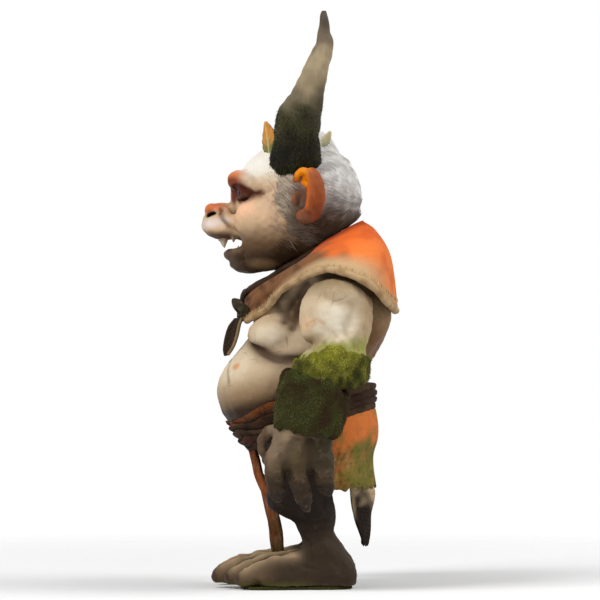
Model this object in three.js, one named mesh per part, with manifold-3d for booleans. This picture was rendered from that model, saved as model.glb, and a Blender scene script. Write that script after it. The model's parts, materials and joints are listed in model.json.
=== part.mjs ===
// Horned goblin figure: a painted casting dressed in felt, cloth, leather, moss and fur.
// Millimetres, +Z up. The figure faces -Y, its left is +X, and the origin lies on the
// ground under the middle of its box.

import * as THREE from 'three';
import { mergeVertices } from 'three/addons/utils/BufferGeometryUtils.js';
import Module from 'manifold-3d';

const wasm = await Module();
wasm.setup();

const point = (x, y, z) => new THREE.Vector3(x, y, z);
const radians = THREE.MathUtils.degToRad;
const between = THREE.MathUtils.lerp;

// Clearances
const SEAT_GAP = 0.3; // between pieces that are glued or sewn to each other
const RUNNING_GAP = 0.2; // between faces that slide on each other
const SEWN_GAP = 0.15; // between a rolled edge and the felt, where the edge bends sharply

// Joint hardware
const WASHER_THICKNESS = 1.2;
const PEG_HEAD_HEIGHT = 3;
const PEG_HEAD_LIP = 1.2; // how far a peg's head stands out past its shaft
const LATHE_SIDES = 10;
const FLATS = Math.cos(Math.PI / LATHE_SIDES); // a turned piece's flats against its corners

// Trunk: height, front, back and half width at each level
const TRUNK = [
  [62, -13, 20, 20],
  [68, -19, 27, 28],
  [76, -28, 31.5, 32.5],
  [86, -36, 33.5, 34.5],
  [96, -40.3, 34, 35],
  [106, -38.5, 34.5, 35],
  [114, -34, 37, 35],
  [122, -28, 42, 34.5],
  [130, -24, 45, 34],
  [138, -22, 45, 34],
  [146, -18, 43, 33.5],
  [154, -12, 41, 32],
  [162, -4, 39, 30],
  [170, 8, 37, 26],
  [178, 20, 35, 18],
];
const TRUNK_SIDES = 18;
const PEC_CENTRE = [14.5, -9.5, 126.5];
const PEC_RADII = [17, 16.5, 11.5];

// Neck: the head turns on a peg that leans forward, square to the collar
const NECK_PIVOT_Y = 3.5;
const NECK_PIVOT_Z = 164;
const NECK_PIVOT = point(0, NECK_PIVOT_Y, NECK_PIVOT_Z);
const NECK_LEAN = radians(30);
const NECK_AXIS = point(0, -Math.sin(NECK_LEAN), Math.cos(NECK_LEAN));
const NECK_RADIUS = 15;
const NECK_LENGTH = 18;
const NECK_SOCKET_CLEARANCE = 1.5;
const NECK_SOCKET_FLOOR = -7; // along the neck, from the pivot
const SHOULDER_TOP = -1.2; // along the neck, from the pivot
const HEAD_UNDERSIDE = 4.5; // along the neck, from the pivot
const NECK_WASHER_RADIUS = 12.5;
const NECK_PEG = { radius: 5, root: 18, bush: 17, wall: 1.8 };

// Head: centre and radii of each swelling, the left one of a pair
const CRANIUM = { centre: [0, -3, 195.5], radii: [28.5, 30, 29] };
const THROAT = { centre: [0, -9, 173], radii: [21, 19, 13] };
const CHEEK = { centre: [16, -19, 183], radii: [12, 14, 12] };
const BROW = { centre: [10, -26.5, 204.5], radii: [12, 9, 5.5] };
const NOSE_BRIDGE = { centre: [0, -34, 197], radii: [6, 6, 9] };
const NOSE = { centre: [0, -39.5, 190.2], radii: [9, 7.3, 5.2] };
const UPPER_LIP = { centre: [0, -37.5, 181.2], radii: [17, 12, 6.8] };
const JAW = { centre: [0, -21, 166.2], radii: [18.5, 16.7, 7.7] };
const MOUTH = { centre: [0, -40, 172], radii: [26, 10, 3.2] };
const HAIR = { centre: [0, 1, 196], radii: [31.5, 31, 30.5] };
const HAIR_EDGE_Y = -15; // of a point on the plane that ends the hair in front
const HAIR_EDGE_Z = 195;
const HAIR_EDGE = point(0, HAIR_EDGE_Y, HAIR_EDGE_Z);
const HAIR_EDGE_LEAN = radians(19);
const EYE_CENTRE = [14.5, -25.5, 198.5];
const EYE_RADIUS = 5.5;
const FANG_TIP = [8, -38.5, 170.8];
const FANG_LENGTH = 7.7;
const FANG_RADIUS = 2;
const EAR = { centre: [31.5, 6.5, 197], radii: [5.5, 6.3, 13.5] };
const EAR_HOLLOW = { centre: [36, 3.5, 198], radii: [4.5, 4.5, 9] };

// Left horn: centre, half width across and half width fore and aft, from root to tip
const HORN = [
  [15, -1.5, 206, 9, 12.5],
  [19.5, -1.75, 212, 10, 13.2],
  [23.5, -1.5, 219, 10, 12],
  [27, -1.25, 226, 9.5, 11],
  [30, -0.25, 234.5, 9, 10.8],
  [31.5, 1.5, 239.5, 8.6, 9.75],
  [32.3, 3.75, 244.5, 7.8, 8.5],
  [32.5, 6.75, 254.5, 6.2, 6.5],
  [31.5, 10, 264.5, 5, 5.2],
  [30.3, 12.5, 272, 4.2, 4.3],
  [29.3, 12.25, 279.5, 3.1, 3.2],
  [28.5, 12.2, 287.4, 1.9, 1.9],
];
const HORN_PIN_CENTRE = [22, -1.6, 216];
const HORN_PIN_LENGTH = 17;
const HORN_PIN_RADIUS = 2.5;

// Leaves in the hair, the left ones of two pairs: root, tip and half width
const LEAF_THICKNESS = 1.6;
const FRONT_LEAF = { root: [13, -15, 217.5], tip: [9, -16.3, 234.5], halfWidth: 4.5 };
const BACK_LEAF = { root: [10, 9, 222.5], tip: [8, 16, 228.5], halfWidth: 4 };

// Shoulders and arms
const SHOULDER_Y = 18.25;
const SHOULDER_Z = 138;
const SHOULDER_SEAT_X = 35;
const SHOULDER_SEAT_RADIUS = 13;
const SHOULDER_PEG = { radius: 4, root: 14, bush: 17, wall: 1.6 };
const SHOULDER_WASHER_RADIUS = 11.5;
const ARM_BALL_RADIUS = 18;
const ARM_BALL_INSET = 10.4; // from the flat of the shoulder to the middle of the ball
const SASH_THICKNESS = 5;
const CUFF_RADIUS_ACROSS = 15.5;
const CUFF_RADIUS_ALONG = 18;
const CUFF_BODY_CLEARANCE = 2; // between the cuff and the sash
const CUFF_LENGTH = 27.5;
const CUFF_BORE = 12.5;
const CUFF_TOP_Y = 8.2;
const CUFF_TOP_Z = 107;
const CUFF_LEAN = radians(8.7);
const FOREARM_DEPTH = 17.5; // how far the forearm reaches into the cuff
const MOSS_THICKNESS = 3;
const WRIST_PEG = { radius: 3, root: 9, bush: 9, wall: 1.5 };

// Left arm: share of the way from shoulder to cuff, then Y, Z and the half widths
const ARM = [
  [0, 18.25, 138, 13, 15],
  [0.45, 19.5, 127, 11.8, 14],
  [0.78, 17, 118, 11.6, 13],
  [0.97, 11.5, 111, 11.8, 12.4],
];
const ELBOW = { share: 0.8, y: 21.5, z: 114, radii: [10.5, 13, 9] };
const ELBOW_MOSS_TOP = 123.5;
const ELBOW_MOSS_BOTTOM = 107;

// Left hand: offsets from the middle of the cuff's top, sideways, back and up, then the half widths
const PALM = [
  [0, -4.4, -27, 10, 11.5],
  [0.5, -6.7, -33, 9, 15.2],
  [1, -7.7, -42, 8.5, 17.6],
  [1, -7.7, -47, 7.5, 16.4],
];
const FINGERS = [
  [[2, -20.7, -45, 5, 5], [2.5, -20.2, -53, 4.8, 4.8], [2, -18.8, -59.4, 3.1, 3.1]],
  [[2, -9.2, -46, 5.4, 5.8], [3, -7.6, -55, 5.2, 5.5], [2, -5.2, -63, 3.2, 3.4]],
  [[1, 3.8, -46, 5, 5.6], [1, 4.4, -51, 4.8, 5], [0.4, 5.6, -55.4, 3, 3.2]],
];
const THUMB = [
  [-3, -15.2, -28, 4.4, 4.4],
  [-5, -23.2, -30, 3.7, 3.7],
  [-5.5, -25.6, -36.5, 3.4, 3.4],
  [-4.5, -24, -42.5, 3.3, 3.3],
];

// Left leg: height, front, back, half width and middle
const LEG = [
  [66, -9, 16, 12, 18],
  [60, -13.5, 19, 15.5, 19],
  [53, -15, 18, 15.3, 20],
  [46, -15, 16, 14.3, 20.6],
  [40, -13.75, 14.75, 13, 21],
  [34, -3.75, 15.75, 10.5, 21.5],
  [29.5, -0.75, 16.25, 9.5, 21.5],
  [24.5, 1.25, 18.75, 9, 21.5],
  [18, 2, 22.5, 10, 21.5],
  [9, 5, 24, 10.5, 21.5],
];
// Left foot, from heel to ball: Y, top, half width
const FOOT = [
  [28.3, 10, 4.5],
  [25.5, 15, 8.5],
  [18, 20, 11],
  [8, 21.5, 12],
  [-2, 20, 13.5],
  [-12, 17.8, 15.5],
  [-20, 16.4, 16.5],
  [-27, 13.5, 15.8],
  [-30.5, 11, 13.5],
];
const FOOT_MIDDLE_X = 21.5;
const FOOT_MIDDLE_Z = 6.5; // the level at which the foot is widest
const TOES = [
  [[12.5, -22, 8.5, 5.8, 6.5], [12, -34, 8, 5.2, 5.4], [11.6, -39.6, 5.8, 3.8, 3.4]],
  [[21.2, -20, 8.5, 5.8, 6.3], [21.2, -29, 7, 5, 5], [21.2, -33, 5.4, 3.7, 3.3]],
  [[30, -17, 8, 5.4, 6], [30.4, -24.5, 6.2, 4.7, 4.5], [30.8, -28, 4.9, 3.5, 2.9]],
];
const SOLE_THICKNESS = 1.6;
const SOLE_OUTLINE = [
  [21.5, 26.5],
  [31, 19],
  [33, 0],
  [35.5, -17],
  [33.5, -25],
  [21.5, -29],
  [10, -28],
  [8, -17],
  [10.5, 0],
  [12, 19],
];
const HIP_PIN_X = 18.5;
const HIP_PIN_Y = 3;
const HIP_PIN_BOTTOM = 48;
const HIP_PIN_TOP = 75;
const HIP_PIN_RADIUS = 3;

// Cape, left half: rows from the front edge to the middle of the back, each from neck to hem
const CAPE_THICKNESS = 2;
const CAPE_FOLD_DEPTH = 1.3;
const CAPE_FOLD_COUNT = 6;
const CAPE_RIBS = [
  [[3, -25.5, 147], [5, -27, 143], [6, -26.5, 139], [6, -25.3, 135]],
  [[12, -20, 150.5], [17, -21, 149], [21, -19.5, 145.5], [23, -17.5, 141.5]],
  [[22, -9, 157], [29, -8, 157.5], [36, -6, 156], [40, -4.5, 152.5]],
  [[27, 4, 164.5], [36, 6, 166], [47, 10, 165], [55, 13, 160]],
  [[24.5, 18, 172.4], [34, 22, 173.8], [47, 27, 168], [57, 30, 155]],
  [[15, 28, 178.4], [22, 33, 178], [36, 42, 167], [42, 44.5, 144]],
  [[0, 33, 181], [0, 38, 178.4], [0, 44.5, 166], [0, 47.6, 140]],
];
const BINDING_RADIUS = 1.3;
const STRAP_RADIUS = 1.7;
const STRAP_END = [2.6, -27.6, 142.6];

// Leather tie at the throat
const KNOT = { centre: [0, -29, 137.8], radii: [4.4, 3, 4] };
const TIE_LOOP = { centre: [7.5, -28.9, 140], radii: [5.2, 2.2, 3.8] };
const TIE_TAIL_THICKNESS = 1.6;
// Left tail: X, Y, Z and half width
const TIE_TAIL = [
  [3.6, -31.2, 134.8, 3],
  [4.6, -33.6, 130, 3.6],
  [5, -34.4, 124, 3.6],
  [5.5, -36.6, 117.2, 2],
];

// Sash: middle of the band at the front and back of the trunk
const SASH_FRONT = [-33, 77.5];
const SASH_BACK = [36, 97];
const SASH_WIDTH = 13.6;
const SASH_WRAPS = 3;
const SASH_WRAP_DEPTH = 1.3;
const SASH_STEPS = 24;

// Loincloth: levels of the back panel give height, back and half width
const CLOTH_THICKNESS = 1.8;
const CLOTH_MIDDLE_Y = 6;
const CLOTH_BACK = [
  [93, 37.2, 36],
  [82, 38.7, 35.5],
  [74.5, 38.3, 34.5],
  [67, 36, 33],
  [60, 35.8, 32.5],
  [50.5, 37, 33.5],
];
const CLOTH_BACK_SWEEP = radians(62);
const CLOTH_FOLD_DEPTH = 1.1;
const CLOTH_FOLD_COUNT = 7;
// Front panel: height, front, half width and how far its edges curl back
const CLOTH_FRONT = [
  [75, -29.5, 9, 1.5],
  [70, -25, 9, 2],
  [57, -22.1, 8.5, 4],
  [44.5, -17.6, 8, 6],
  [29.5, -15, 7.6, 7],
  [17, -13.5, 7, 6.5],
];
// Tail at the back: height, back, half width and curl
const BACK_TAIL = [
  [54, 34.6, 7, 9],
  [48, 36, 6.5, 10],
  [36, 35.6, 5, 7.5],
  [21.5, 34.4, 3, 3],
];

// Looks: colour, roughness and metalness
const CREAM = [0xcdb48c, 0.6, 0];
const DARK_SKIN = [0x4a3a2b, 0.7, 0];
const TAUPE = [0x6b5948, 0.7, 0];
const PEACH = [0xc9a17e, 0.6, 0];
const EAR_ORANGE = [0xa8622e, 0.6, 0];
const FUR = [0xb9b2a4, 0.95, 0];
const HORN_GREY = [0x5d564a, 0.75, 0];
const LEAF_OCHRE = [0xa87c3a, 0.8, 0];
const FELT = [0xc4641c, 0.95, 0];
const HEM = [0xb79a72, 0.9, 0];
const LEATHER = [0x2a201a, 0.6, 0];
const SASH_BROWN = [0x3b2619, 0.9, 0];
const CLOTH_OLIVE = [0x8a6a34, 0.95, 0];
const CLOTH_RUST = [0x9a5528, 0.95, 0];
const BRIGHT_MOSS = [0x7d7a2c, 1, 0];
const DARK_MOSS = [0x3d4020, 1, 0];
const IVORY = [0xe2d6b8, 0.4, 0];
const EYE_DARK = [0x1a120c, 0.15, 0];
const STEEL = [0x9a9c9e, 0.35, 1];
const BRASS = [0xb59a52, 0.4, 1];
const BEECH = [0xc9a877, 0.7, 0];

// Closed meshes and solids

// A closed solid from a geometry, with its faces turned outwards.
function solidOf(geometry) {
  const bare = geometry.clone();
  bare.deleteAttribute('normal');
  bare.deleteAttribute('uv');
  const merged = mergeVertices(bare);
  const corners = merged.attributes.position;
  const faces = [];
  const [a, b, c] = [point(), point(), point()];
  let volume = 0;
  for (let i = 0; i < merged.index.count; i += 3) {
    const corner = [0, 1, 2].map((k) => merged.index.getX(i + k));
    if (new Set(corner).size < 3) continue;
    faces.push(corner);
    [a, b, c].forEach((p, k) => p.fromBufferAttribute(corners, corner[k]));
    volume += a.dot(b.cross(c));
  }
  const outward = volume > 0 ? faces : faces.map((corner) => corner.reverse());
  const mesh = new wasm.Mesh({
    numProp: 3,
    vertProperties: Float32Array.from(corners.array),
    triVerts: Uint32Array.from(outward.flat()),
  });
  return new wasm.Manifold(mesh);
}

function geometryOf(solid) {
  const mesh = solid.getMesh();
  const geometry = new THREE.BufferGeometry();
  geometry.setAttribute('position', new THREE.BufferAttribute(mesh.vertProperties, 3));
  geometry.setIndex(Array.from(mesh.triVerts));
  geometry.computeVertexNormals();
  return geometry;
}

function solidFrom(corners, faces) {
  const geometry = new THREE.BufferGeometry().setFromPoints(corners);
  geometry.setIndex(faces);
  return solidOf(geometry);
}

const joined = (solids) => solids.reduce((all, solid) => all.add(solid));
const cut = (solid, ...tools) => tools.reduce((rest, tool) => rest.subtract(tool), solid);

// The body of a cut solid, without the crumbs that the cut leaves beside it.
function mainBody(solid) {
  return solid.decompose().reduce((a, b) => (a.volume() > b.volume() ? a : b));
}

function mirrored(solid) {
  return solidOf(geometryOf(solid).scale(-1, 1, 1));
}

const bothSides = (solid) => solid.add(mirrored(solid));

// Basic shapes

function ball(centre, radii, grow = 0, sides = 10) {
  const geometry = new THREE.SphereGeometry(1, sides, Math.round(sides * 0.6));
  geometry.rotateX(Math.PI / 2);
  geometry.scale(...radii.map((radius) => radius + grow));
  geometry.translate(...centre);
  return solidOf(geometry);
}

const swelling = (shape, grow = 0, sides = 10) => ball(shape.centre, shape.radii, grow, sides);

// A turned piece: the profile gives radius and distance along the axis.
function turned(profile, origin, axis) {
  const outline = profile.map(([radius, along]) => new THREE.Vector2(radius, along));
  const geometry = new THREE.LatheGeometry(outline, LATHE_SIDES);
  geometry.applyQuaternion(new THREE.Quaternion().setFromUnitVectors(point(0, 1, 0), axis));
  geometry.translate(origin.x, origin.y, origin.z);
  return solidOf(geometry);
}

function rod(radius, start, end, origin, axis) {
  return turned([[0, start], [radius, start], [radius, end], [0, end]], origin, axis);
}

function ringOf(inner, outer, start, end, origin, axis) {
  const profile = [[inner, start], [outer, start], [outer, end], [inner, end], [inner, start]];
  return turned(profile, origin, axis);
}

// All the space behind a plane, as one large block.
function spaceBehind(planePoint, normal) {
  const reach = 600;
  const geometry = new THREE.BoxGeometry(reach, reach, reach);
  geometry.translate(0, 0, -reach / 2);
  geometry.applyQuaternion(new THREE.Quaternion().setFromUnitVectors(point(0, 0, 1), normal));
  geometry.translate(planePoint.x, planePoint.y, planePoint.z);
  return solidOf(geometry);
}

// A number on the smooth curve from b to c, with a before it and d after it.
function smooth(a, b, c, d, t) {
  return b + 0.5 * t * (c - a + t * (2 * a - 5 * b + 4 * c - d + t * (3 * (b - c) + d - a)));
}

// Rows of numbers with extra rows on the smooth curve through them.
function through(rows, perSpan) {
  const last = rows.length - 1;
  const at = (i) => rows[Math.min(Math.max(i, 0), last)];
  const out = [];
  for (let i = 0; i < last; i++) {
    for (let k = 0; k < perSpan; k++) {
      out.push(
        at(i).map((b, n) => smooth(at(i - 1)[n], b, at(i + 1)[n], at(i + 2)[n], k / perSpan)),
      );
    }
  }
  out.push([...rows[last]]);
  return out;
}

// A row of a table at a given first value, on straight lines between the rows.
function levelAt(rows, value) {
  const rising = rows[0][0] < rows[1][0];
  let i = 0;
  while (i < rows.length - 2 && (rising ? value > rows[i + 1][0] : value < rows[i + 1][0])) i++;
  const t = (value - rows[i][0]) / (rows[i + 1][0] - rows[i][0]);
  return rows[i].map((start, n) => between(start, rows[i + 1][n], t));
}

// A closed skin over rings of points, capped at its two ends or joined into a loop.
function skin(rings, loop = false) {
  const sides = rings[0].length;
  const corners = rings.flat();
  const faces = [];
  const index = (r, s) => (r % rings.length) * sides + (s % sides);
  for (let r = 0; r < rings.length - (loop ? 0 : 1); r++) {
    for (let s = 0; s < sides; s++) {
      faces.push(index(r, s), index(r, s + 1), index(r + 1, s + 1));
      faces.push(index(r, s), index(r + 1, s + 1), index(r + 1, s));
    }
  }
  if (!loop) {
    for (const r of [0, rings.length - 1]) {
      const middle = corners.length;
      corners.push(rings[r].reduce((sum, p) => sum.add(p), point(0, 0, 0)).divideScalar(sides));
      for (let s = 0; s < sides; s++) {
        if (r === 0) faces.push(middle, index(r, s + 1), index(r, s));
        else faces.push(middle, index(r, s), index(r, s + 1));
      }
    }
  }
  return solidFrom(corners, faces);
}

// Points of an oval ring square to a direction, its first radius lying towards X.
function ovalRing(centre, along, across, other, sides) {
  const sideways = point(1, 0, 0).addScaledVector(along, -along.x).normalize();
  const upright = along.clone().cross(sideways);
  return Array.from({ length: sides }, (_, s) => {
    const angle = (2 * Math.PI * s) / sides;
    return centre
      .clone()
      .addScaledVector(sideways, across * Math.cos(angle))
      .addScaledVector(upright, other * Math.sin(angle));
  });
}

// A limb through rows of X, Y, Z and two half widths; its far end may be rounded.
function limb(rows, { sides = 12, perSpan = 1, grow = 0, roundEnd = false } = {}) {
  const stations = through(rows, perSpan);
  const centres = stations.map(([x, y, z]) => point(x, y, z));
  const last = stations.length - 1;
  const direction = (i) =>
    centres[Math.min(i + 1, last)].clone().sub(centres[Math.max(i - 1, 0)]).normalize();
  centres[0].addScaledVector(direction(0), -grow);
  if (!roundEnd) centres[last].addScaledVector(direction(last), grow);
  const rings = stations.map((row, i) =>
    ovalRing(centres[i], direction(i), row[3] + grow, row[4] + grow, sides),
  );
  if (roundEnd) {
    const along = direction(last);
    const [across, other] = [stations[last][3] + grow, stations[last][4] + grow];
    for (const turn of [radians(35), radians(65)]) {
      const centre = centres[last].clone().addScaledVector(along, across * Math.sin(turn));
      rings.push(ovalRing(centre, along, across * Math.cos(turn), other * Math.cos(turn), sides));
    }
  }
  return skin(rings);
}

// A stack of level ovals: rows of height, front, back, half width and, if given, the middle.
function stack(rows, { sides, perSpan = 1, grow = 0 }) {
  const levels = through(rows, perSpan);
  const last = levels.length - 1;
  const rings = levels.map(([z, front, back, halfWidth, middle = 0], i) => {
    const outwards = (i === 0 ? -grow : 0) + (i === last ? grow : 0);
    const height = z + outwards * Math.sign(levels[last][0] - levels[0][0]);
    const centre = point(middle, (front + back) / 2, height);
    return ovalRing(centre, point(0, 0, 1), halfWidth + grow, (back - front) / 2 + grow, sides);
  });
  return skin(rings);
}

// A closed sheet of cloth, leather or leaf over a grid of points.
function sheet(grid, thickness) {
  const rows = grid.length;
  const columns = grid[0].length;
  const at = (r, c) => {
    const row = grid[Math.min(Math.max(r, 0), rows - 1)];
    return row[Math.min(Math.max(c, 0), columns - 1)];
  };
  const corners = [];
  for (const side of [0.5, -0.5]) {
    for (let r = 0; r < rows; r++) {
      for (let c = 0; c < columns; c++) {
        const across = at(r, c + 1).clone().sub(at(r, c - 1));
        const down = at(r + 1, c).clone().sub(at(r - 1, c));
        const normal = across.cross(down).normalize();
        corners.push(at(r, c).clone().addScaledVector(normal, side * thickness));
      }
    }
  }
  const faces = [];
  const quad = (a, b, c, d) => faces.push(a, b, c, a, c, d);
  const index = (side, r, c) => (side * rows + r) * columns + c;
  for (let r = 0; r < rows - 1; r++) {
    for (let c = 0; c < columns - 1; c++) {
      quad(index(0, r, c), index(0, r, c + 1), index(0, r + 1, c + 1), index(0, r + 1, c));
      quad(index(1, r, c), index(1, r + 1, c), index(1, r + 1, c + 1), index(1, r, c + 1));
    }
  }
  for (let c = 0; c < columns - 1; c++) {
    const end = rows - 1;
    quad(index(0, 0, c), index(1, 0, c), index(1, 0, c + 1), index(0, 0, c + 1));
    quad(index(0, end, c), index(0, end, c + 1), index(1, end, c + 1), index(1, end, c));
  }
  for (let r = 0; r < rows - 1; r++) {
    const end = columns - 1;
    quad(index(0, r, 0), index(0, r + 1, 0), index(1, r + 1, 0), index(1, r, 0));
    quad(index(0, r, end), index(1, r, end), index(1, r + 1, end), index(0, r + 1, end));
  }
  return solidFrom(corners, faces);
}

// A round roll along a line of points; each ring's first corner points away from its backing.
function roll(line, away, radius, sides) {
  const last = line.length - 1;
  const rings = line.map((centre, i) => {
    const along = line[Math.min(i + 1, last)].clone().sub(line[Math.max(i - 1, 0)]).normalize();
    const out = away[i].clone().addScaledVector(along, -along.dot(away[i])).normalize();
    const over = along.clone().cross(out);
    return Array.from({ length: sides }, (_, s) => {
      const angle = (2 * Math.PI * s) / sides;
      return centre
        .clone()
        .addScaledVector(out, radius * Math.cos(angle))
        .addScaledVector(over, radius * Math.sin(angle));
    });
  });
  return skin(rings);
}

// Peg joints

// A peg fixed in one piece turns in a bush that is fixed in the other. Distances run along
// the axis from the face of the piece that holds the peg.
function pegJoint({ radius, root, bush, wall }, origin, axis, washerRadius) {
  const facing = washerRadius ? WASHER_THICKNESS + 2 * RUNNING_GAP : RUNNING_GAP;
  const bushInner = (radius + RUNNING_GAP) / FLATS;
  const bushOuter = bushInner + wall;
  const bushStart = facing + SEAT_GAP;
  const bushEnd = bushStart + bush;
  const headStart = bushEnd + RUNNING_GAP;
  const headEnd = headStart + PEG_HEAD_HEIGHT;
  const headRadius = radius + PEG_HEAD_LIP;
  const profile = [
    [0, -root],
    [radius, -root],
    [radius, headStart],
    [headRadius, headStart],
    [headRadius, headEnd],
    [0, headEnd],
  ];
  return {
    facing,
    peg: turned(profile, origin, axis),
    bush: ringOf(bushInner, bushOuter, bushStart, bushEnd, origin, axis),
    washer:
      washerRadius &&
      ringOf(bushInner, washerRadius, RUNNING_GAP, RUNNING_GAP + WASHER_THICKNESS, origin, axis),
    pegBore: rod(radius + SEAT_GAP, -root - SEAT_GAP, facing, origin, axis),
    bushBore: rod(bushOuter + SEAT_GAP, 0, headEnd + SEAT_GAP, origin, axis),
  };
}

const alongNeck = (distance) => NECK_PIVOT.clone().addScaledVector(NECK_AXIS, distance);

const neckJoint = pegJoint(
  NECK_PEG,
  alongNeck(NECK_SOCKET_FLOOR),
  NECK_AXIS,
  NECK_WASHER_RADIUS,
);

const ARM_SEAT_X = SHOULDER_SEAT_X + WASHER_THICKNESS + 2 * RUNNING_GAP;
const shoulderJoint = pegJoint(
  SHOULDER_PEG,
  point(ARM_SEAT_X, SHOULDER_Y, SHOULDER_Z),
  point(-1, 0, 0),
  SHOULDER_WASHER_RADIUS,
);

const TRUNK_HALF_WIDTH = Math.max(...TRUNK.map((row) => row[3]));
const ARM_BALL_X = ARM_SEAT_X + ARM_BALL_INSET;
const CUFF_X = TRUNK_HALF_WIDTH + SASH_THICKNESS + CUFF_BODY_CLEARANCE + CUFF_RADIUS_ACROSS;
const CUFF_TOP = point(CUFF_X, CUFF_TOP_Y, CUFF_TOP_Z);
const CUFF_DOWN = point(0, -Math.sin(CUFF_LEAN), -Math.cos(CUFF_LEAN));
const downCuff = (distance) => CUFF_TOP.clone().addScaledVector(CUFF_DOWN, distance);
const HAND_TOP = FOREARM_DEPTH + RUNNING_GAP;
const wristJoint = pegJoint(WRIST_PEG, downCuff(HAND_TOP), CUFF_DOWN.clone().negate());

// Trunk, legs and feet

const aboveShoulders = (grow) => spaceBehind(alongNeck(SHOULDER_TOP + grow), NECK_AXIS.clone().negate());

function trunkShape(grow = 0) {
  const seat = rod(
    SHOULDER_SEAT_RADIUS + grow,
    0,
    SHOULDER_SEAT_X + grow,
    point(0, SHOULDER_Y, SHOULDER_Z),
    point(1, 0, 0),
  );
  const chest = ball(PEC_CENTRE, PEC_RADII, grow);
  const body = stack(TRUNK, { sides: TRUNK_SIDES, grow });
  return cut(joined([body, bothSides(chest.add(seat))]), aboveShoulders(grow));
}

function torso() {
  const socket = rod(
    NECK_RADIUS + NECK_SOCKET_CLEARANCE,
    NECK_SOCKET_FLOOR,
    NECK_LENGTH,
    NECK_PIVOT,
    NECK_AXIS,
  );
  return cut(
    trunkShape(),
    socket,
    neckJoint.pegBore,
    bothSides(shoulderJoint.bushBore),
    bothSides(hipPin(SEAT_GAP)),
  );
}

function hipPin(grow = 0) {
  const foot = point(HIP_PIN_X, HIP_PIN_Y, 0);
  return rod(HIP_PIN_RADIUS + grow, HIP_PIN_BOTTOM - grow, HIP_PIN_TOP + grow, foot, point(0, 0, 1));
}

const FOOT_BOTTOM = SOLE_THICKNESS + SEAT_GAP;

function legShape(grow = 0) {
  const shank = stack(LEG, { sides: 10, grow });
  const foot = skin(
    FOOT.map(([y, top, halfWidth]) => {
      const centre = point(FOOT_MIDDLE_X, y, FOOT_MIDDLE_Z);
      const height = top - FOOT_MIDDLE_Z + grow;
      return ovalRing(centre, point(0, -1, 0), halfWidth + grow, height, 10);
    }),
  );
  const toes = TOES.map((rows) => limb(rows, { sides: 6, grow, roundEnd: true }));
  const ground = spaceBehind(point(0, 0, FOOT_BOTTOM - grow), point(0, 0, 1));
  return cut(joined([shank, foot, ...toes]), ground);
}

function leg() {
  return mainBody(cut(legShape(), trunkShape(SEAT_GAP), hipPin(SEAT_GAP)));
}

function solePad() {
  const outline = SOLE_OUTLINE.map(([x, y]) => new THREE.Vector3(x, y, 0));
  const curve = new THREE.CatmullRomCurve3(outline, true);
  const shape = new THREE.Shape(curve.getPoints(30).slice(0, -1).map((p) => new THREE.Vector2(p.x, p.y)));
  return solidOf(new THREE.ExtrudeGeometry(shape, { depth: SOLE_THICKNESS, bevelEnabled: false }));
}

// Head

const belowHead = (grow) => spaceBehind(alongNeck(HEAD_UNDERSIDE - grow), NECK_AXIS);

function headShape(grow = 0) {
  const pairs = [CHEEK, BROW].map((shape) => bothSides(swelling(shape, grow)));
  const singles = [THROAT, NOSE_BRIDGE, NOSE, UPPER_LIP, JAW].map((shape) => swelling(shape, grow));
  const skull = swelling(CRANIUM, grow, 16);
  const lumps = joined([skull, ...pairs, ...singles]);
  return cut(lumps, swelling(MOUTH, -grow), belowHead(grow)).add(neckShape(grow));
}

function neckShape(grow) {
  const start = NECK_SOCKET_FLOOR + neckJoint.facing;
  return rod(NECK_RADIUS + grow, start - grow, start + NECK_LENGTH, NECK_PIVOT, NECK_AXIS);
}

function head() {
  const sockets = bothSides(joined([eye(SEAT_GAP), fang(SEAT_GAP), hornPin(SEAT_GAP)]));
  return mainBody(cut(headShape(), neckJoint.bushBore, sockets));
}

const eye = (grow = 0) => ball(EYE_CENTRE, [EYE_RADIUS, EYE_RADIUS, EYE_RADIUS], grow, 10);

function fang(grow = 0) {
  const profile = [
    [0, -grow],
    [FANG_RADIUS / 2 + grow, FANG_LENGTH * 0.4],
    [FANG_RADIUS + grow, FANG_LENGTH],
    [FANG_RADIUS + grow, FANG_LENGTH + grow],
    [0, FANG_LENGTH + grow],
  ];
  return turned(grow ? profile : profile.toSpliced(3, 1), point(...FANG_TIP), point(0, 0, 1));
}

const hornShape = (grow = 0) => limb(HORN, { sides: 8, grow, roundEnd: true });
const horn = () => mainBody(cut(hornShape(), headShape(SEAT_GAP), hornPin(SEAT_GAP)));

function hornPin(grow = 0) {
  const axis = point(...HORN[2]).sub(point(...HORN[0])).normalize();
  const half = HORN_PIN_LENGTH / 2 + grow;
  return rod(HORN_PIN_RADIUS + grow, -half, half, point(...HORN_PIN_CENTRE), axis);
}

const earShape = (grow = 0) => cut(swelling(EAR, grow), swelling(EAR_HOLLOW, -grow));
const ear = () => mainBody(cut(earShape(), headShape(SEAT_GAP)));

function hairShape(grow = 0) {
  const forwards = point(0, -Math.cos(HAIR_EDGE_LEAN), Math.sin(HAIR_EDGE_LEAN));
  const edge = HAIR_EDGE.clone().addScaledVector(forwards, grow);
  const inFront = spaceBehind(edge, forwards.negate());
  return cut(swelling(HAIR, grow, 16), inFront, belowHead(grow));
}

function hair() {
  const dressed = bothSides(earShape(SEAT_GAP).add(hornShape(SEAT_GAP)));
  return mainBody(cut(hairShape(), headShape(SEAT_GAP), dressed));
}

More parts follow.
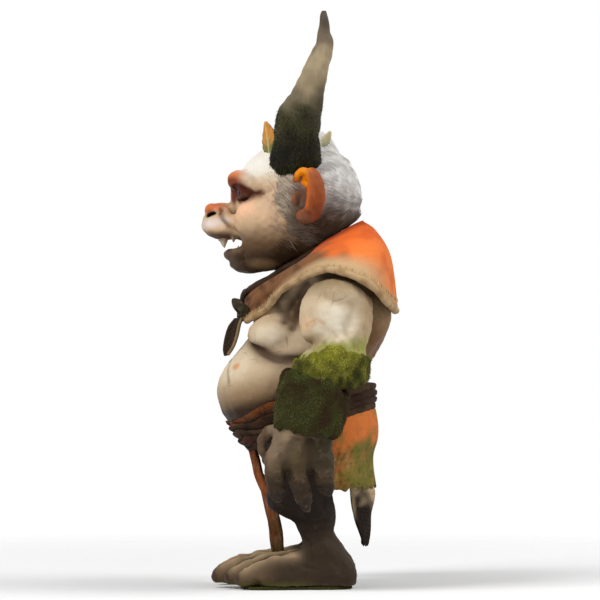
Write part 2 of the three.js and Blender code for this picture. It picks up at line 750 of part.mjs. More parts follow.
// A pointed leaf, widest below its middle and cupped across.
function leaf({ root, tip, halfWidth }, facing) {
  const start = point(...root);
  const along = point(...tip).sub(start);
  const across = along.clone().cross(facing).normalize();
  const outward = across.clone().cross(along).normalize();
  const grid = [0, 0.3, 0.6, 0.85, 1].map((t) => {
    const width = halfWidth * (0.25 + 0.75 * Math.sin(Math.PI * Math.min(1, t * 0.9 + 0.1)));
    return [-1, 0, 1].map((side) =>
      start
        .clone()
        .addScaledVector(along, t)
        .addScaledVector(across, side * width)
        .addScaledVector(outward, -0.3 * Math.abs(side) * width),
    );
  });
  const seat = joined([headShape(SEAT_GAP), hairShape(SEAT_GAP), hornShape(SEAT_GAP)]);
  return mainBody(cut(sheet(grid, LEAF_THICKNESS), seat));
}

// Arms and hands

// The arm from the shoulder to the cuff, which it enters along the cuff's own line.
function forearmShape(grow = 0) {
  const outwards = (share) => between(ARM_BALL_X, CUFF_X, share);
  const bend = ARM.map(([share, ...rest]) => [outwards(share), ...rest]);
  const radius = CUFF_BORE - SEAT_GAP;
  const entry = [...downCuff(FOREARM_DEPTH / 2).toArray(), radius, radius];
  const elbow = ball([outwards(ELBOW.share), ELBOW.y, ELBOW.z], ELBOW.radii, grow);
  return limb([...bend, entry], { sides: 10, grow }).add(elbow);
}

function armShape(grow = 0) {
  const radius = ARM_BALL_RADIUS;
  const shoulder = ball([ARM_BALL_X, SHOULDER_Y, SHOULDER_Z], [radius, radius, radius], grow, 14);
  const stump = rod(CUFF_BORE - SEAT_GAP + grow, 0, FOREARM_DEPTH, CUFF_TOP, CUFF_DOWN);
  const beside = spaceBehind(point(ARM_SEAT_X - grow, 0, 0), point(1, 0, 0));
  return cut(joined([forearmShape(grow), shoulder, stump]), beside);
}

function arm() {
  return mainBody(cut(armShape(), cuff(SEAT_GAP), shoulderJoint.pegBore, wristJoint.bushBore));
}

// The outside of the cuff, a swollen oval sleeve.
function cuffEnvelope(grow = 0) {
  const profile = [[0, 0.92], [0.15, 1], [0.8, 0.98], [1, 0.9]];
  const rows = profile.map(([share, size]) => [
    ...downCuff(share * CUFF_LENGTH).toArray(),
    CUFF_RADIUS_ACROSS * size,
    CUFF_RADIUS_ALONG * size,
  ]);
  return limb(rows, { sides: 14, grow });
}

function cuff(grow = 0) {
  const bore = rod(CUFF_BORE - grow, -CUFF_LENGTH, 2 * CUFF_LENGTH, CUFF_TOP, CUFF_DOWN);
  return cut(cuffEnvelope(grow), bore);
}

function elbowMoss() {
  const over = spaceBehind(point(0, 0, ELBOW_MOSS_TOP), point(0, 0, -1));
  const under = spaceBehind(point(0, 0, ELBOW_MOSS_BOTTOM), point(0, 0, 1));
  const sleeve = cut(forearmShape(MOSS_THICKNESS), over, under, cuffEnvelope(SEAT_GAP));
  return mainBody(cut(sleeve, armShape(SEAT_GAP)));
}

function hand() {
  const fromCuff = ([across, back, up, ...halfWidths]) => [
    CUFF_X + across,
    CUFF_TOP_Y + back,
    CUFF_TOP_Z + up,
    ...halfWidths,
  ];
  const digits = [...FINGERS, THUMB].map((rows) =>
    limb(rows.map(fromCuff), { sides: 6, roundEnd: true }),
  );
  const palm = limb(PALM.map(fromCuff), { sides: 10, roundEnd: true });
  const sleeve = rod(
    CUFF_LENGTH * 2,
    HAND_TOP - CUFF_LENGTH,
    CUFF_LENGTH + SEAT_GAP,
    CUFF_TOP,
    CUFF_DOWN,
  );
  const plug = rod(CUFF_BORE * FLATS - RUNNING_GAP, HAND_TOP, CUFF_LENGTH + 2, CUFF_TOP, CUFF_DOWN);
  return mainBody(cut(cut(joined([palm, ...digits]), sleeve).add(plug), wristJoint.pegBore));
}

// Cape, strap and tie

// Points of the cape from neck to hem, right front edge first, with shallow folds at the hem.
function capeGrid() {
  const flip = (rib) => rib.map(([x, y, z]) => [-x, y, z]);
  const ribs = [...CAPE_RIBS.map(flip), ...CAPE_RIBS.slice(0, -1).reverse()];
  const columns = through(
    ribs.map((rib) => through(rib, 2).flat()),
    2,
  );
  const rows = columns[0].length / 3;
  return Array.from({ length: rows }, (_, r) =>
    columns.map((column, c) => {
      const spot = point(...column.slice(3 * r, 3 * r + 3));
      const around = c / (columns.length - 1);
      const fold = CAPE_FOLD_DEPTH * Math.cos(2 * Math.PI * CAPE_FOLD_COUNT * (around - 0.5));
      const outward = point(spot.x, spot.y - NECK_PIVOT.y, 0).normalize();
      return spot.addScaledVector(outward, fold * (r / (rows - 1)) ** 2);
    }),
  );
}

const CAPE_GRID = capeGrid();

// The felt with its faces and edges pushed out.
function capeShape(grow = 0) {
  const grid = CAPE_GRID.map((row) => {
    const inner = row.slice(1, -1);
    const ends = besideEdge([row[0], row.at(-1)], [row[1], row.at(-2)], grow);
    return [ends[0], ...inner, ends[1]];
  });
  const neck = besideEdge(grid[0], grid[1], grow);
  const hem = besideEdge(grid.at(-1), grid.at(-2), grow);
  return sheet([neck, ...grid.slice(1, -1), hem], CAPE_THICKNESS + 2 * grow);
}

const cape = () => mainBody(cut(capeShape(), trunkShape(SEAT_GAP)));

// The line that lies a given distance past one edge of the cape.
function besideEdge(edge, inner, distance) {
  return edge.map((spot, i) => {
    const away = spot.clone().sub(inner[i]).normalize();
    return spot.clone().addScaledVector(away, distance);
  });
}

function capeBinding() {
  const [inner, hem] = CAPE_GRID.slice(-2);
  const line = besideEdge(hem, inner, BINDING_RADIUS + SEAT_GAP);
  const away = hem.map((spot, i) => spot.clone().sub(inner[i]));
  const edge = roll(line, away, BINDING_RADIUS, 6);
  return mainBody(cut(edge, trunkShape(SEAT_GAP), capeShape(SEWN_GAP)));
}

// A rolled strap along the neck edge, its ends brought down to the knot.
function strapShape(grow = 0) {
  const [neck, inner] = CAPE_GRID;
  const run = besideEdge(neck, inner, STRAP_RADIUS + SEAT_GAP);
  const away = neck.map((spot, i) => spot.clone().sub(inner[i]));
  const [x, y, z] = STRAP_END;
  const line = [point(-x, y, z - grow), ...run, point(x, y, z - grow)];
  return roll(line, [away[0], ...away, away.at(-1)], STRAP_RADIUS + grow, 6);
}

const neckStrap = () => mainBody(cut(strapShape(), trunkShape(SEAT_GAP), capeShape(SEWN_GAP)));

const behindTie = () => joined([strapShape(SEAT_GAP), capeShape(SEAT_GAP)]);
const tieKnot = () => mainBody(cut(swelling(KNOT), behindTie()));
const tieLoop = () => mainBody(cut(swelling(TIE_LOOP), swelling(KNOT, SEAT_GAP), behindTie()));

function tieTail() {
  const grid = through(TIE_TAIL, 2).map(([x, y, z, halfWidth]) =>
    [-1, 0, 1].map((side) => point(x + side * halfWidth, y + 0.25 * halfWidth * Math.abs(side), z)),
  );
  return mainBody(cut(sheet(grid, TIE_TAIL_THICKNESS), swelling(KNOT, SEAT_GAP), behindTie()));
}

// Sash and loincloth

// The level of the sash's middle at a place from front to back.
function sashLevel(y) {
  const [frontY, frontZ] = SASH_FRONT;
  const [backY, backZ] = SASH_BACK;
  return between(frontZ, backZ, (y - frontY) / (backY - frontY));
}

// A point round the trunk at a level, pushed out from its surface.
function aroundTrunk(angle, z, out) {
  const [, front, back, halfWidth] = levelAt(TRUNK, z);
  const across = (halfWidth + out) * Math.cos(angle);
  const deep = ((back - front) / 2 + out) * Math.sin(angle);
  return point(across, (front + back) / 2 + deep, z);
}

// A wound band: rolls of cloth side by side on its outside, its inside lying in the trunk.
function sashShape(grow = 0) {
  const rollSteps = 2;
  const count = SASH_WRAPS * rollSteps;
  const rings = Array.from({ length: SASH_STEPS }, (_, i) => {
    const angle = (2 * Math.PI * i) / SASH_STEPS;
    const middle = sashLevel(aroundTrunk(angle, sashLevel(0), 0).y);
    const ring = [];
    for (let k = 0; k <= count; k++) {
      const share = k / count - 0.5;
      const roll = Math.abs(Math.sin((Math.PI * k) / rollSteps));
      const out = SASH_THICKNESS - SASH_WRAP_DEPTH * (1 - roll) + grow;
      ring.push(aroundTrunk(angle, middle + share * (SASH_WIDTH + 2 * grow), out));
    }
    ring.push(aroundTrunk(angle, middle + SASH_WIDTH / 2 + grow, -2));
    ring.push(aroundTrunk(angle, middle - SASH_WIDTH / 2 - grow, -2));
    return ring;
  });
  return skin(rings, true);
}

const sash = () => mainBody(cut(sashShape(), trunkShape(SEAT_GAP)));

function loinclothBack() {
  const columns = 15;
  const rows = 6;
  const bottom = CLOTH_BACK.at(-1)[0];
  const grid = Array.from({ length: rows }, (_, r) =>
    Array.from({ length: columns }, (_unused, c) => {
      const turn = CLOTH_BACK_SWEEP * ((2 * c) / (columns - 1) - 1);
      const drop = r / (rows - 1);
      const rim = levelAt(CLOTH_BACK, CLOTH_BACK[1][0]);
      const rimY = CLOTH_MIDDLE_Y + (rim[1] - CLOTH_MIDDLE_Y) * Math.cos(turn);
      const top = sashLevel(rimY) - SASH_WIDTH / 2 + CLOTH_THICKNESS;
      const z = between(top, bottom, drop);
      const [, back, halfWidth] = levelAt(CLOTH_BACK, z);
      const fold = CLOTH_FOLD_DEPTH * drop * Math.cos(CLOTH_FOLD_COUNT * turn);
      const x = (halfWidth + fold) * Math.sin(turn);
      const y = CLOTH_MIDDLE_Y + (back - CLOTH_MIDDLE_Y + fold) * Math.cos(turn);
      return point(x, y, z);
    }),
  );
  const around = joined([sashShape(SEAT_GAP), trunkShape(SEAT_GAP), bothSides(legShape(SEAT_GAP))]);
  return mainBody(cut(sheet(grid, CLOTH_THICKNESS), around));
}

// A hanging strip whose edges curl to one side: rows of height, face, half width and curl.
function strip(rows, curlWay) {
  const grid = through(rows, 2).map(([z, face, halfWidth, curl]) =>
    [-1, -0.6, 0, 0.6, 1].map((side) =>
      point(side * halfWidth, face + curlWay * curl * side * side, z),
    ),
  );
  return sheet(grid, CLOTH_THICKNESS);
}

function loinclothFront() {
  const around = joined([sashShape(SEAT_GAP), trunkShape(SEAT_GAP), bothSides(legShape(SEAT_GAP))]);
  return mainBody(cut(strip(CLOTH_FRONT, 1), around));
}

const backTail = () => mainBody(cut(strip(BACK_TAIL, -1), loinclothBack()));

// Assembly

const figure = new THREE.Group();

function addPiece(name, solid, [color, roughness, metalness]) {
  const material = new THREE.MeshStandardMaterial({ color, roughness, metalness });
  const mesh = new THREE.Mesh(geometryOf(solid), material);
  mesh.name = name;
  figure.add(mesh);
}

function addPair(name, solid, look) {
  addPiece(`left_${name}`, solid, look);
  addPiece(`right_${name}`, mirrored(solid), look);
}

addPiece('torso', torso(), CREAM);
addPair('leg', leg(), DARK_SKIN);
addPair('hip_dowel', hipPin(), BEECH);
addPair('sole_pad', solePad(), DARK_MOSS);

addPiece('neck_peg', neckJoint.peg, STEEL);
addPiece('neck_washer', neckJoint.washer, LEATHER);
addPiece('neck_bush', neckJoint.bush, BRASS);
addPair('shoulder_peg', shoulderJoint.peg, STEEL);
addPair('shoulder_washer', shoulderJoint.washer, LEATHER);
addPair('shoulder_bush', shoulderJoint.bush, BRASS);
addPair('wrist_peg', wristJoint.peg, STEEL);
addPair('wrist_bush', wristJoint.bush, BRASS);

addPiece('head', head(), PEACH);
addPiece('hair', hair(), FUR);
addPair('ear', ear(), EAR_ORANGE);
addPair('eye', eye(), EYE_DARK);
addPair('fang', fang(), IVORY);
addPair('horn', horn(), HORN_GREY);
addPair('horn_dowel', hornPin(), BEECH);
addPair('front_leaf', leaf(FRONT_LEAF, point(0.6, -0.8, 0)), LEAF_OCHRE);
addPair('back_leaf', leaf(BACK_LEAF, point(0.3, 0, 1)), LEAF_OCHRE);

addPair('arm', arm(), CREAM);
addPair('elbow_moss', elbowMoss(), BRIGHT_MOSS);
addPair('cuff', cuff(), DARK_MOSS);
addPair('hand', hand(), TAUPE);

addPiece('cape', cape(), FELT);
addPiece('cape_binding', capeBinding(), HEM);
addPiece('neck_strap', neckStrap(), LEATHER);
addPiece('tie_knot', tieKnot(), LEATHER);
addPair('tie_loop', tieLoop(), LEATHER);
addPair('tie_tail', tieTail(), LEATHER);

addPiece('sash', sash(), SASH_BROWN);
addPiece('loincloth_front', loinclothFront(), CLOTH_RUST);
addPiece('loincloth_back', loinclothBack(), CLOTH_OLIVE);
addPiece('back_tail', backTail(), LEATHER);

export default figure;
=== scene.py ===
import json
import math
from collections import namedtuple

import bpy
import numpy as np
from mathutils import Euler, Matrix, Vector


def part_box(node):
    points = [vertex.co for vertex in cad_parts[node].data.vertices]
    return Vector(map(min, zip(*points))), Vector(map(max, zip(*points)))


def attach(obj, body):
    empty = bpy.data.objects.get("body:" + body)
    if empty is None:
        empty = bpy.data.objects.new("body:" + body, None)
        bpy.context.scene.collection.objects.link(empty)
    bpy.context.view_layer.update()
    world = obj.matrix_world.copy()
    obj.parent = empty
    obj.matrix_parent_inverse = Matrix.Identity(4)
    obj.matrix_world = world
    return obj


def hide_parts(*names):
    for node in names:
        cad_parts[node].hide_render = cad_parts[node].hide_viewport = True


# Horned goblin figure: the looks of every piece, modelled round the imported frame.
# Shapes are written in millimetres in the figure's own frame (+Z up, the figure faces -Y and its
# left is +X) and become metres when a mesh is made.

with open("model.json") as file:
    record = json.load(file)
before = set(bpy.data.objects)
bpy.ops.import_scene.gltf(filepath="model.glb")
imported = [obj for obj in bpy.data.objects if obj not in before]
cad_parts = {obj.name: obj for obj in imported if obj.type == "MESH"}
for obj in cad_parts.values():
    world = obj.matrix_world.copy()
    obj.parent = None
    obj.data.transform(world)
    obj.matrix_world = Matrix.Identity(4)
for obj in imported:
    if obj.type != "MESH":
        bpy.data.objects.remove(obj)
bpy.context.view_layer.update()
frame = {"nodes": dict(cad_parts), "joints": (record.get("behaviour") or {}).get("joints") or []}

MM = 0.001
CELL_SCALE, STRAND_SHARE = ((1, 1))
SIDES = (("left", 1), ("right", -1))


def middle_of(node):
    """The middle of a CAD node's box, in millimetres."""
    low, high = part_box(node)
    return np.array((low + high) / 2) / MM


HEAD_TURN = next(joint for joint in frame["joints"] if joint["name"] == "head_turn")
NECK = np.array(HEAD_TURN["pos_m"]) / MM
NECK_AXIS = np.array(HEAD_TURN["axis"])
ARM_SEAT_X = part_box("left_arm")[0].x / MM
CUFF_X = middle_of("left_cuff")[0]
CUFF_TOP = np.array([CUFF_X, 8.2, 107])
CUFF_LEAN = math.radians(8.7)
CUFF_DOWN = np.array([0, -math.sin(CUFF_LEAN), -math.cos(CUFF_LEAN)])
CUFF_LENGTH = 27.5


def above_neck(distance):
    """A point on the axis that the head turns about."""
    return NECK + distance * NECK_AXIS


def down_cuff(distance):
    """A point on the cuff's axis, measured from its top."""
    return CUFF_TOP + distance * CUFF_DOWN


# Numbers and curves


def through(rows, per_span):
    """Rows of numbers with extra rows on the smooth curve through them."""
    rows = np.asarray(rows, float)
    padded = np.vstack([rows[:1], rows, rows[-1:]])
    t = np.linspace(0, 1, per_span, endpoint=False)[:, None]
    spans = []
    for a, b, c, d in zip(padded, padded[1:], padded[2:], padded[3:]):
        bend = 2 * a - 5 * b + 4 * c - d + t * (3 * (b - c) + d - a)
        spans.append(b + 0.5 * t * (c - a + t * bend))
    return np.vstack(spans + [rows[-1:]])


def ease(start, end, value):
    """0 before start and 1 after end, smooth between; start may lie past end."""
    t = np.clip((value - start) / (end - start), 0, 1)
    return t * t * (3 - 2 * t)


def hump(value, width):
    """1 at zero, falling smoothly to 0 on both sides over about a width."""
    return np.exp(-((value / width) ** 2))


def unit(vectors):
    """Vectors made 1 long."""
    return vectors / np.maximum(np.linalg.norm(vectors, axis=-1, keepdims=True), 1e-9)


def circle(count):
    """Angles evenly spaced round a circle."""
    return np.linspace(0, 2 * math.pi, count, endpoint=False)


def folded(points):
    """Points with the figure's right side laid over its left."""
    return abs(points) * (1, 0, 0) + points * (0, 1, 1)


def ripple(points, size, seed, waves=14):
    """Smooth random swells from about -1 to 1, with humps about size apart."""
    random = np.random.default_rng(seed)
    directions = unit(random.normal(size=(waves, 3)))
    pace = 2 * math.pi / size * random.uniform(0.6, 1.5, waves)
    phase = random.uniform(0, 2 * math.pi, waves)
    swell = np.sin(points @ directions.T * pace + phase).sum(axis=1)
    return swell / math.sqrt(waves)


def linear(code):
    """A hex colour as linear red, green, blue and 1."""
    parts = [int(code[i : i + 2], 16) / 255 for i in (1, 3, 5)]
    lit = [c / 12.92 if c <= 0.04045 else ((c + 0.055) / 1.055) ** 2.4 for c in parts]
    return (*lit, 1.0)


# Modelling clay: forms are joined and carved on a grid, then skinned

Form = namedtuple("Form", "low high distance")
ENDLESS = np.full(3, 1e4)


def egg(centre, radii, lean=(0, 0, 0)):
    """An egg-shaped lump; lean turns it about its own middle, in degrees."""
    cx, cy, cz = (float(c) for c in centre)
    turn = np.array(Euler([math.radians(a) for a in lean]).to_matrix()).tolist()
    reach = np.full(3, max(radii)) if any(lean) else np.array(radii)

    def distance(x, y, z):
        offset = (x - cx, y - cy, z - cz)
        if any(lean):
            offset = [sum(turn[k][i] * offset[k] for k in range(3)) for i in range(3)]
        near = np.sqrt(sum((o / r) ** 2 for o, r in zip(offset, radii)))
        slope = np.sqrt(sum((o / r**2) ** 2 for o, r in zip(offset, radii)))
        return near * (near - 1) / np.maximum(slope, 1e-6)

    return Form(np.array(centre) - reach, np.array(centre) + reach, distance)


def limb(rows, per_span=4, grow=0.0):
    """A limb through rows of x, y, z and radius, or x, y, z, half width across X and half depth."""
    flat = len(rows[0]) > 4
    rows = np.array([[*row[:3], row[3] + grow, row[-1] + grow] for row in rows])
    fine = through(rows, per_span).tolist()
    reach = rows[:, 3:].max()

    def distance(x, y, z):
        best = np.float32(1e6)
        for a, b in zip(fine, fine[1:]):
            step = [q - p for p, q in zip(a, b)]
            length = max(sum(s * s for s in step[:3]), 1e-9)
            share = ((x - a[0]) * step[0] + (y - a[1]) * step[1] + (z - a[2]) * step[2]) / length
            share = np.clip(share, 0, 1)
            radius = a[4] + share * step[4]
            squeeze = (a[3] + share * step[3]) / radius if flat else 1.0
            dx = (x - a[0] - share * step[0]) / squeeze
            dy, dz = y - a[1] - share * step[1], z - a[2] - share * step[2]
            gap = np.sqrt(dx * dx + dy * dy + dz * dz) - radius
            best = np.minimum(best, gap * np.minimum(1, squeeze))
        return best

    return Form(rows[:, :3].min(0) - reach, rows[:, :3].max(0) + reach, distance)


def thread(path):
    """A line without thickness through points."""
    return limb([[*spot, 0] for spot in path], 5)


def slices(rows, along="z"):
    """A body of oval slices: rows of level, near edge, far edge, half width on X and middle."""
    fine = through(sorted(rows), 8).astype(np.float32)
    half = fine[:, 3].max()
    sideways = (fine[:, 4].min() - half, fine[:, 4].max() + half)
    depth, level = (fine[:, 1].min(), fine[:, 2].max()), (fine[0, 0], fine[-1, 0])
    boxes = (sideways, depth, level) if along == "z" else (sideways, level, depth)

    def distance(x, y, z):
        here, deep = (z, y) if along == "z" else (y, z)
        near, far, width, centre = (
            np.interp(here, fine[:, 0], fine[:, k]).astype(np.float32) for k in (1, 2, 3, 4)
        )
        thick = (far - near) / 2
        a, b = (x - centre) / width, (deep - (near + far) / 2) / thick
        ring = np.sqrt(a * a + b * b)
        slope = np.sqrt((a / width) ** 2 + (b / thick) ** 2)
        side = ring * (ring - 1) / np.maximum(slope, 1e-6)
        return np.maximum(side, np.maximum(level[0] - here, here - level[1]))

    return Form([b[0] for b in boxes], [b[1] for b in boxes], distance)


def half_space(spot, normal):
    """All the space behind a plane."""
    (px, py, pz), (nx, ny, nz) = [[float(v) for v in row] for row in (spot, normal)]

    def distance(x, y, z):
        return (x - px) * nx + (y - py) * ny + (z - pz) * nz

    return Form(-ENDLESS, ENDLESS, distance)


def together(forms):
    """Several forms as one, with sharp valleys between them."""

    def distance(x, y, z):
        near = [form.distance(x, y, z) for form in forms]
        return np.minimum.reduce(np.broadcast_arrays(*near))

    return Form(np.min([f.low for f in forms], 0), np.max([f.high for f in forms], 0), distance)


def rod(start, end, radius):
    """A round rod with flat ends."""
    start, end = np.array(start, float), np.array(end, float)
    length = float(np.linalg.norm(end - start))
    (ax, ay, az), (ux, uy, uz) = start.tolist(), ((end - start) / length).tolist()

    def distance(x, y, z):
        dx, dy, dz = x - ax, y - ay, z - az
        along = dx * ux + dy * uy + dz * uz
        out = np.sqrt(np.maximum(dx * dx + dy * dy + dz * dz - along * along, 0)) - radius
        return np.maximum(out, np.maximum(-along, along - length))

    return Form(np.minimum(start, end) - radius, np.maximum(start, end) + radius, distance)


def soft_min(a, b, blend):
    """The smaller of two distances, with a rounded valley where they are near."""
    if blend <= 0:
        return np.minimum(a, b)
    share = np.clip(0.5 + 0.5 * (b - a) / blend, 0, 1)
    return b + (a - b) * share - blend * share * (1 - share)


CORNERS = np.array([(i, j, k) for i in (0, 1) for j in (0, 1) for k in (0, 1)])
CELL_EDGES = [
    (a, b) for a in range(8) for b in range(a + 1, 8) if abs(CORNERS[a] - CORNERS[b]).sum() == 1
]


class Clay:
    """A grid of distances to a surface. While it is mirrored, its right side repeats its left."""

    EMPTY = 40

    def __init__(self, low, high, cell, mirrored=False):
        self.cell = cell * CELL_SCALE
        self.axes = [
            np.arange(a, b + self.cell, self.cell, dtype=np.float32) for a, b in zip(low, high)
        ]
        self.field = np.full([len(axis) for axis in self.axes], self.EMPTY, np.float32)
        self.mirrored = mirrored

    def window(self, form, margin):
        """The part of the block near a form, and the places of its grid points."""
        low, high = np.array(form.low, float) - margin, np.array(form.high, float) + margin
        if self.mirrored:
            low[0] = -high[0]
        spans, grid = [], []
        for n, axis in enumerate(self.axes):
            first = max(0, np.searchsorted(axis, low[n]) - 1)
            span = slice(first, np.searchsorted(axis, high[n]) + 1)
            spans.append(span)
            grid.append(axis[span].reshape([-1 if n == k else 1 for k in range(3)]))
        if self.mirrored:
            grid[0] = abs(grid[0])
        return tuple(spans), grid

    def add(self, form, blend=0.0):
        """Joins a form on, filling the valley over a blend."""
        where, grid = self.window(form, blend + 3 * self.cell)
        self.field[where] = soft_min(self.field[where], form.distance(*grid), blend)

    def carve(self, form, blend=0.0):
        """Cuts a form away, rounding the edge over a blend."""
        where, grid = self.window(form, blend + 3 * self.cell)
        self.field[where] = -soft_min(-self.field[where], form.distance(*grid), blend)

    def crease(self, path, width, depth):
        """Presses a groove along a path; a depth below zero raises a ridge."""
        line = thread(path)
        where, grid = self.window(line, 3 * width)
        self.field[where] += (depth * hump(line.distance(*grid), width)).astype(np.float32)

    def uneven(self, size, height, seed):
        """Small swells all over the surface."""
        near = np.argwhere(abs(self.field) < 3 * self.cell)
        spots = np.stack([axis[near[:, n]] for n, axis in enumerate(self.axes)], 1)
        self.field[tuple(near.T)] += (height * ripple(spots, size, seed)).astype(np.float32)

    def skin(self):
        """Points and four-cornered faces of the surface."""
        inside = self.field < 0
        shape = np.array(inside.shape) - 1
        views = [
            inside[i : i + shape[0], j : j + shape[1], k : k + shape[2]] for i, j, k in CORNERS
        ]
        full = sum(view.astype(np.int8) for view in views)
        crossed = (full > 0) & (full < 8)
        cells = np.argwhere(crossed)
        number = np.full(crossed.shape, -1, np.int64)
        number[crossed] = np.arange(len(cells))
        values = np.stack([self.field[tuple((cells + corner).T)] for corner in CORNERS], 1)
        total, hits = np.zeros((len(cells), 3)), np.zeros(len(cells))
        for a, b in CELL_EDGES:
            cut = (values[:, a] < 0) != (values[:, b] < 0)
            share = np.where(cut, values[:, a] / np.where(cut, values[:, a] - values[:, b], 1), 0)
            total += cut[:, None] * (CORNERS[a] + share[:, None] * (CORNERS[b] - CORNERS[a]))
            hits += cut
        origin = np.array([axis[0] for axis in self.axes])
        points = (cells + total / hits[:, None]) * self.cell + origin
        faces = []
        for axis in range(3):
            step = np.eye(3, dtype=int)[axis]
            across, up = np.roll(step, 1), np.roll(step, 2)
            first = inside[tuple(slice(0, n - s) for n, s in zip(inside.shape, step))]
            second = inside[tuple(slice(s, None) for s in step)]
            ends = np.argwhere(first != second)
            ends = ends[(ends - across - up >= 0).all(1) & (ends < shape).all(1)]
            corners = [ends - across - up, ends - up, ends, ends - across]
            quads = np.stack([number[tuple(c.T)] for c in corners], 1)
            outward = inside[tuple(ends.T)]
            faces.append(np.where(outward[:, None], quads, quads[:, ::-1]))
        faces = np.vstack(faces)
        return relaxed(points, faces, 2), faces


def edges_of(faces):
    """Pairs of points joined by an edge, each pair once."""
    pairs = np.vstack([faces[:, [k, (k + 1) % faces.shape[1]]] for k in range(faces.shape[1])])
    return np.unique(np.sort(pairs, axis=1), axis=0)


def neighbour_mean(values, edges):
    """The mean of each point's neighbours."""
    count = np.bincount(edges.ravel(), minlength=len(values))[:, None]
    total = np.zeros((len(values), values.shape[1]))
    for k in range(values.shape[1]):
        total[:, k] = np.bincount(edges[:, 0], values[edges[:, 1], k], len(values))
        total[:, k] += np.bincount(edges[:, 1], values[edges[:, 0], k], len(values))
    return total / np.maximum(count, 1)


def relaxed(points, faces, rounds):
    """Evens out the steps of the grid without shrinking the form."""
    edges = edges_of(faces)
    for _ in range(rounds):
        points = points + 0.5 * (neighbour_mean(points, edges) - points)
        points = points - 0.52 * (neighbour_mean(points, edges) - points)
    return points


def normals_of(points, faces):
    """The way out of the surface at each point."""
    a, b, c = (points[faces[:, k]] for k in (0, 1, 2))
    flat = np.cross(b - a, c - a)
    total = np.zeros_like(points)
    for k in range(faces.shape[1]):
        for axis in range(3):
            total[:, axis] += np.bincount(faces[:, k], flat[:, axis], len(points))
    return unit(total)


HOLLOW_SPREAD, HOLLOW_SOFTENING, HOLLOW_DEPTH = 5, 2, 0.45


def hollows_of(points, faces):
    """How far each point lies in a hollow, from about -1 on a ridge to 1 in a groove."""
    edges = edges_of(faces)
    spread = points
    for _ in range(HOLLOW_SPREAD):
        spread = neighbour_mean(spread, edges)
    depth = ((spread - points) * normals_of(points, faces)).sum(axis=1)[:, None]
    for _ in range(HOLLOW_SOFTENING):
        depth = neighbour_mean(depth, edges)
    return np.clip(depth[:, 0] / HOLLOW_DEPTH, -1, 1)


# Lofts and sheets


def grid_faces(rows, columns, loop_rows=False, loop_columns=False):
    """Faces of a grid of points numbered row by row."""
    r, c = np.meshgrid(
        np.arange(rows - (not loop_rows)), np.arange(columns - (not loop_columns)), indexing="ij"
    )
    r, c = r.ravel(), c.ravel()
    down, right = (r + 1) % rows, (c + 1) % columns
    corners = [r * columns + c, r * columns + right, down * columns + right, down * columns + c]
    return np.stack(corners, 1)


def frames_along(line, hint):
    """Directions out and over at each point of a line; out starts near hint and is carried on."""
    out, over = np.zeros_like(line), np.zeros_like(line)
    carried = np.array(hint, float)
    for i, way in enumerate(unit(np.gradient(line, axis=0))):
        carried = unit(carried - way * (carried @ way))
        out[i], over[i] = carried, np.cross(way, carried)
    return out, over


def capped(points, rows, columns):
    """A closed tube from the points of its rings: a fan at each end adds a middle point."""
    faces = grid_faces(rows, columns, loop_columns=True)
    ends = np.vstack([points[:columns].mean(0), points[-columns:].mean(0)])
    count, last = len(points), (rows - 1) * columns
    c = np.arange(columns)
    d = (c + 1) % columns
    start = np.stack([np.full(columns, count), d, c, c], 1)
    finish = np.stack([np.full(columns, count + 1), last + c, last + d, last + d], 1)
    return np.vstack([points, ends]), np.vstack([faces, start, finish])


def tube(line, radii, sides, hint=(0, 0, 1), shape=None):
    """A tube along a line, with one or two radii a point; shape may push each ring's corners."""
    line = np.asarray(line, float)
    radii = np.broadcast_to(np.asarray(radii, float).reshape(len(line), -1), (len(line), 2))
    out, over = frames_along(line, hint)
    angle = circle(sides)
    push = np.ones((len(line), sides)) if shape is None else shape(np.arange(len(line)), angle)
    rings = (
        line[:, None]
        + out[:, None] * (radii[:, :1] * np.cos(angle) * push)[:, :, None]
        + over[:, None] * (radii[:, 1:] * np.sin(angle) * push)[:, :, None]
    )
    return capped(rings.reshape(-1, 3), len(line), sides)


def plate(grid, thickness):
    """A closed sheet over a grid of points, with rounded edges, and each point's place on it."""
    rows, columns = grid.shape[:2]
    normal = unit(np.cross(np.gradient(grid, axis=1), np.gradient(grid, axis=0)))
    front, back = grid + normal * thickness / 2, grid - normal * thickness / 2
    count = rows * columns
    faces = grid_faces(rows, columns)
    number = np.arange(count).reshape(rows, columns)
    rim = np.concatenate([number[0], number[1:, -1], number[-1, -2::-1], number[-2:0:-1, 0]])
    step = np.roll(rim, -1)
    lip = 2 * count + np.arange(len(rim))
    lip_step = np.roll(lip, -1)
    inner_row = np.clip(rim // columns, 1, rows - 2)
    inner_column = np.clip(rim % columns, 1, columns - 2)
    flat = grid.reshape(-1, 3)
    away = unit(flat[rim] - flat[inner_row * columns + inner_column])
    edge = flat[rim] + away * thickness * 0.3
    points = np.vstack([front.reshape(-1, 3), back.reshape(-1, 3), edge])
    over_lip = np.stack([step, rim, lip, lip_step], 1)
    under_lip = np.stack([lip_step, lip, rim + count, step + count], 1)
    faces = np.vstack([faces, faces[:, ::-1] + count, over_lip, under_lip])
    down, across = np.meshgrid(np.linspace(0, 1, rows), np.linspace(0, 1, columns), indexing="ij")
    place = np.stack([across.ravel(), down.ravel()], 1)
    return (points, faces), np.vstack([place, place, place[rim]])


def out_and_down(place):
    """How far out from a plate's middle line and how far down it each point is, from 0 to 1."""
    return abs(2 * place[:, 0] - 1), place[:, 1]


def joined(*shapes):
    """Several shapes as one."""
    points, faces, base = [], [], 0
    for spots, corners in shapes:
        points.append(spots)
        faces.append(corners + base)
        base += len(spots)
    return np.vstack(points), np.vstack(faces)


# Paint and pieces


